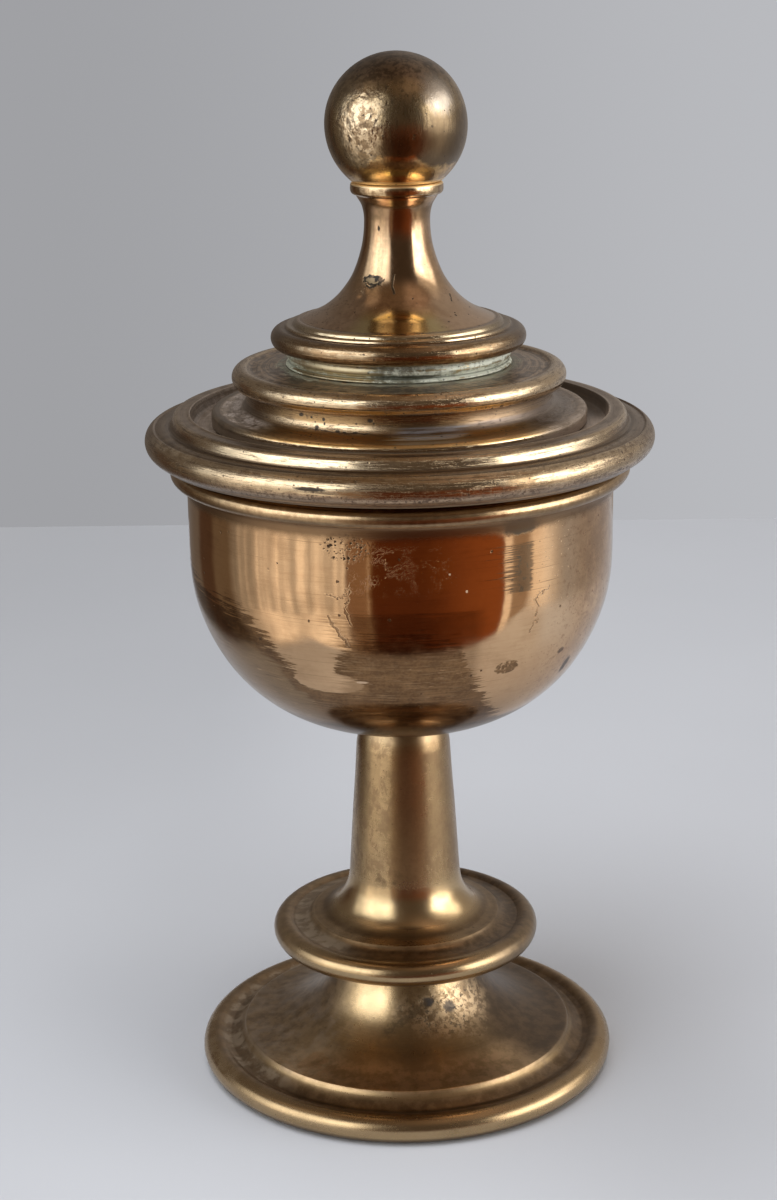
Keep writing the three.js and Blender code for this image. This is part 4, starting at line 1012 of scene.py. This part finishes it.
def hardware_brass():
    m = Brass("hardware_brass_aged", False)
    fine, big = m.noise(m.p, 2.2, 4.0, 0.65), m.noise(m.p, 0.5, 3.0, 0.55)
    tone = m.smooth(big * 0.5 + fine * 0.5, 0.38, 0.62)
    look = Look(m, m.blend(tone, (0.55, 0.42, 0.24), (0.33, 0.24, 0.13)), m.mix(tone, 0.30, 0.44), (fine - 0.5) * 0.008)
    rings = m.noise(m.vec(m.r * 9.0, 0.0, m.z * 9.0), 1.0, 2.0, 0.6)
    look.height = look.height + (rings - 0.5) * 0.003
    look.mark(m.smooth(m.noise(m.p, 1.1, 4.0, 0.7), 0.58, 0.68), (0.12, 0.08, 0.045), 0.6, rough=0.55)
    look.mark(m.smooth(m.noise(m.p, 0.9, 3.0, 0.6), 0.60, 0.68), (0.22, 0.27, 0.20), 0.4, rough=0.6, metal=0.4)
    return look.done(Coat_Weight=0.1, Coat_Roughness=0.3)


mats = {
    "foot": foot_brass(),
    "stem": stem_brass(),
    "bowl": bowl_brass(),
    "lid": lid_brass("lid_brass_aged_with_painted_light", False),
    "boss": lid_brass("boss_brass_aged_with_painted_light", True),
    "collar": collar_verdigris(),
    "finial": finial_brass(),
    "ball": ball_brass(),
    "hardware": hardware_brass(),
}

PIECES = [
    (foot, "foot", "cup", "foot_brass", "foot"),
    (stem, "stem_with_knop", "cup", "stem_brass", "stem"),
    (bowl, "bowl", "cup", "bowl_brass", "bowl"),
    (lid_plate, "lid_plate", "lid", "lid_brass", "lid"),
    (lid_boss, "lid_boss", "lid", "lid_brass", "boss"),
    (collar, "collar_ring", "lid", "verdigris", "collar"),
    (finial, "finial", "lid", "finial_brass", "finial"),
    (ball, "finial_ball", "lid", "ball_brass", "ball"),
    (foot_washer, "foot_washer", "cup", "hardware_brass", "hardware"),
    (foot_nut, "foot_nut", "cup", "hardware_brass", "hardware"),
    (tie_rod, "tie_rod", "cup", "hardware_brass", "hardware"),
    (lid_washer, "lid_washer", "lid", "hardware_brass", "hardware"),
    (lid_nut, "lid_nut", "lid", "hardware_brass", "hardware"),
    (finial_rod, "finial_rod", "lid", "hardware_brass", "hardware"),
]
for obj, node, body, slot, look in PIECES:
    obj.data.materials.append(mats[look])
    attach(obj, body)
    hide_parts(node)

# ------------------------------------------------------------------ floor and light


def stage_sheet(name, x0, y0, x1, y1, mat, z=-0.05):
    mesh = bpy.data.meshes.new(name)
    mesh.from_pydata([(x0, y0, 0), (x1, y0, 0), (x1, y1, 0), (x0, y1, 0)], [], [(0, 1, 2, 3)])
    obj = bpy.data.objects.new(name, mesh)
    mesh.materials.append(mat)
    bpy.context.scene.collection.objects.link(obj)
    obj.location.z = z * MM
    return obj


LEFT, RIGHT, FRONT, BACK = -0.082, 0.17, -0.067, 0.213     # the part of the floor that the metal mirrors


def floor_material(name, mirrored):
    mat = bpy.data.materials.new(name)
    mat.use_nodes = True
    m = Net(mat.node_tree)
    co = m.new("ShaderNodeTexCoord")
    p = Value(m, co.outputs["Object"])
    cloud = m.noise(p, 9.0, 3.0, 0.5)
    px, py, pz = m.split(Value(m, m.new("ShaderNodeNewGeometry").outputs["Position"]))
    color = m.blend(m.smooth(cloud, 0.3, 0.7), (0.535, 0.545, 0.575), (0.56, 0.57, 0.60))
    if mirrored:
        # painted shade: the copy that the metal mirrors is painted darker, more so to the left
        shade = m.smooth(px, -0.01, -0.05, 0.80, 0.62)
    else:
        # painted light and shade: darker towards the back and the left, with darker patches in front on the right and
        # behind on the left
        shade = (m.smooth(py, -0.06, 0.17, 1.0, 0.86) * m.smooth(px, 0.10, -0.14, 1.06, 0.92)
                 * m.mix(m.smooth(px, 0.0, 0.03) * m.smooth(py, 0.01, -0.02), 1.0, 0.86)
                 * m.mix(m.smooth(px, -0.005, -0.03) * m.smooth(py, -0.005, 0.05), 1.0, 0.90))
    color = m.vmath("SCALE", color, scale=shade)
    b = m.new("ShaderNodeBsdfPrincipled")
    m.put(color, b.inputs["Base Color"])
    b.inputs["Roughness"].default_value = 0.55
    b.inputs["Specular IOR Level"].default_value = 0.25
    out = m.new("ShaderNodeOutputMaterial")
    if mirrored:
        soft = (m.smooth(px, LEFT, LEFT + 0.022) * m.smooth(px, RIGHT, RIGHT - 0.06) * m.smooth(py, FRONT, FRONT + 0.012))
        clear = m.new("ShaderNodeBsdfTransparent")
        both = m.new("ShaderNodeMixShader")
        m.put(soft, both.inputs[0])
        m.tree.links.new(clear.outputs[0], both.inputs[1])
        m.tree.links.new(b.outputs[0], both.inputs[2])
        m.tree.links.new(both.outputs[0], out.inputs[0])
    else:
        m.tree.links.new(b.outputs[0], out.inputs[0])
    return mat


pale = floor_material("stage_pale", False)
table = stage_sheet("stage_table", -3.0, -3.0, 3.0, BACK, pale)
table.visible_glossy = False
mirrored = stage_sheet("stage_mirrored", LEFT, FRONT, RIGHT, BACK, floor_material("stage_pale_mirrored", True), -0.03)
mirrored.visible_camera = mirrored.visible_diffuse = mirrored.visible_shadow = False


def make_world():
    world = bpy.data.worlds.new("studio")
    bpy.context.scene.world = world
    world.use_nodes = True
    m = Net(world.node_tree)
    co = m.new("ShaderNodeTexCoord")
    x, y, z = m.split(m.vmath("NORMALIZE", Value(m, co.outputs["Generated"])))
    az = m.math("ARCTAN2", x, -y) * (180 / math.pi)
    el = m.math("ARCSINE", z) * (180 / math.pi)

    def window(a0, a1, e0, e1, sa=3.0, se=6.0, sa2=None, se2=None):
        sa2, se2 = sa2 or sa, se2 or se
        return (m.smooth(az, a0 - sa, a0 + sa) * m.smooth(az, a1 + sa2, a1 - sa2)
                * m.smooth(el, e0 - se, e0 + se) * m.smooth(el, e1 + se2, e1 - se2))

    # front and ceiling, dim and warm; the wall behind, grey, lower on the left
    high = m.blend(m.smooth(x, 0.0, 0.42), (0.14, 0.095, 0.06), (0.42, 0.31, 0.24))
    base = m.blend(m.smooth(el, 35.0, 66.0), (0.085, 0.064, 0.047), high)
    behind = m.smooth(m.size(az), 88.0, 108.0) * m.smooth(el, 74.0, 50.0)
    wall = m.blend(m.smooth(x, -0.25, 0.25), (0.15, 0.13, 0.115), (0.34, 0.31, 0.285))
    color = m.blend(behind, base, wall)
    dim_left = m.smooth(az, -164, -148) * m.smooth(az, -98, -110) * m.smooth(el, 46.0, 34.0)
    color = m.blend(dim_left, color, (0.125, 0.105, 0.088))
    color = m.blend(window(-104, -62, 44, 64, 10, 6), color, (0.38, 0.30, 0.225))
    color = m.blend(window(-127, -103, -60, 8, 4, 6), color, (0.13, 0.100, 0.072))
    color = m.blend(window(-139, -121, -60, 8, 3, 6), color, (0.072, 0.044, 0.029))
    color = m.blend(window(92, 150, -60, 0, 8, 6), color, (0.34, 0.33, 0.335))
    brown = window(-28, 57, -60, 2, 2, 8, 2)
    color = m.blend(brown, color, m.blend(m.smooth(az, 5.0, 52.0), (0.085, 0.025, 0.009), (0.24, 0.075, 0.023)))
    color = m.blend(window(-29, -16, -60, 2, 1.5, 8), color, (0.24, 0.15, 0.095))
    color = m.blend(window(-17.7, -17.0, -45, 2, 0.35, 6), color, (0.5, 0.40, 0.30))
    color = m.blend(window(61, 74, -45, 2, 2, 6), color, (0.34, 0.26, 0.20))
    # left window, with upright folds in its light, brighter in its upper half
    folds = m.noise(m.vec(az * 0.21, el * 0.008, 0.0), 1.0, 4.0, 0.68)
    mottle = m.noise(m.vec(az * 0.06, el * 0.07, 3.0), 1.0, 3.0, 0.6)
    glow = m.mix(m.smooth(el, -24.5, -22.5), 1.0, m.smooth(folds, 0.34, 0.66, 0.62, 1.22))
    glow = glow * m.smooth(mottle, 0.3, 0.7, 0.76, 1.24) * m.smooth(el, -14.0, 24.0, 0.93, 2.5) * m.smooth(az, -100.0, -68.0, 0.42, 1.0)
    hue = m.blend(m.smooth(el, -12.0, 8.0), (0.98, 0.92, 0.85), (0.97, 1.0, 1.02))
    sunk = el + m.smooth(az, -52.0, -96.0, 0.0, 12.5)
    left = (m.smooth(az, -107.0, -97.0) * m.smooth(az, m.smooth(el, -2.0, 8.0, -28.5, -22.0), m.smooth(el, -2.0, 8.0, -30.5, -26.0))
            * m.smooth(el, -60.0, -44.0) * m.smooth(sunk, 49.0, 37.0))
    color = m.blend(left, color, m.vmath("SCALE", hue, scale=glow))
    color = m.blend(window(-82, -66, -10, 9, 3, 4) * 0.7, color, (1.5, 1.45, 1.38))
    # right window, brighter, with a dimmer stretch over it and beside it
    color = m.blend(window(60, 112, 24, 45, 8, 5), color, (0.62, 0.56, 0.50))
    color = m.blend(window(86, 106, -8, 30, 6, 5), color, (0.85, 0.80, 0.75))
    color = m.blend(window(52, 93, -3, 31, 3, 5, 9), color, (4.4, 4.4, 4.3))
    color = m.blend(window(79, 110, 15, 32, 4, 4, 8), color, (2.3, 2.25, 2.15))
    color = m.blend(window(64, 91, -10, 6, 3, 3, 9), color, (2.4, 2.35, 2.25))
    color = m.blend(window(56.5, 61.5, -50, -3, 0.8, 3), color, (0.90, 0.80, 0.71))
    color = m.blend(window(73, 90, -45, -8, 3, 4, 10), color, (0.92, 0.84, 0.76))
    lit = m.new("ShaderNodeBackground")
    m.put(color, lit.inputs["Color"])
    seen = m.new("ShaderNodeBackground")
    m.put(m.blend(m.smooth(x, -0.16, 0.2), (0.352, 0.355, 0.372), (0.49, 0.497, 0.522)), seen.inputs["Color"])
    path = m.new("ShaderNodeLightPath")
    both = m.new("ShaderNodeMixShader")
    m.tree.links.new(path.outputs["Is Camera Ray"], both.inputs[0])
    m.tree.links.new(lit.outputs[0], both.inputs[1])
    m.tree.links.new(seen.outputs[0], both.inputs[2])
    out = m.new("ShaderNodeOutputWorld")
    m.tree.links.new(both.outputs[0], out.inputs[0])


def soft_light(name, place, target, size, power, color=(1, 1, 1), glossy=False):
    light = bpy.data.lights.new(name, "AREA")
    light.shape, light.size, light.size_y = "RECTANGLE", size[0], size[1]
    light.energy, light.color = power, color
    obj = bpy.data.objects.new(name, light)
    bpy.context.scene.collection.objects.link(obj)
    obj.location = place
    aim = Vector(target) - Vector(place)
    obj.rotation_mode = "QUATERNION"
    obj.rotation_quaternion = aim.to_track_quat("-Z", "Y")
    obj.visible_camera = False
    obj.visible_glossy = glossy
    return obj


make_world()
soft_light("overhead_soft", (-0.10, -0.15, 0.75), (0, 0.02, 0), (0.7, 0.7), 5.7, (0.955, 1.0, 1.05))

scene = bpy.context.scene
scene.view_settings.view_transform = "Standard"
scene.view_settings.look = "None"
scene.view_settings.exposure = 0.0
scene.view_settings.gamma = 1.0
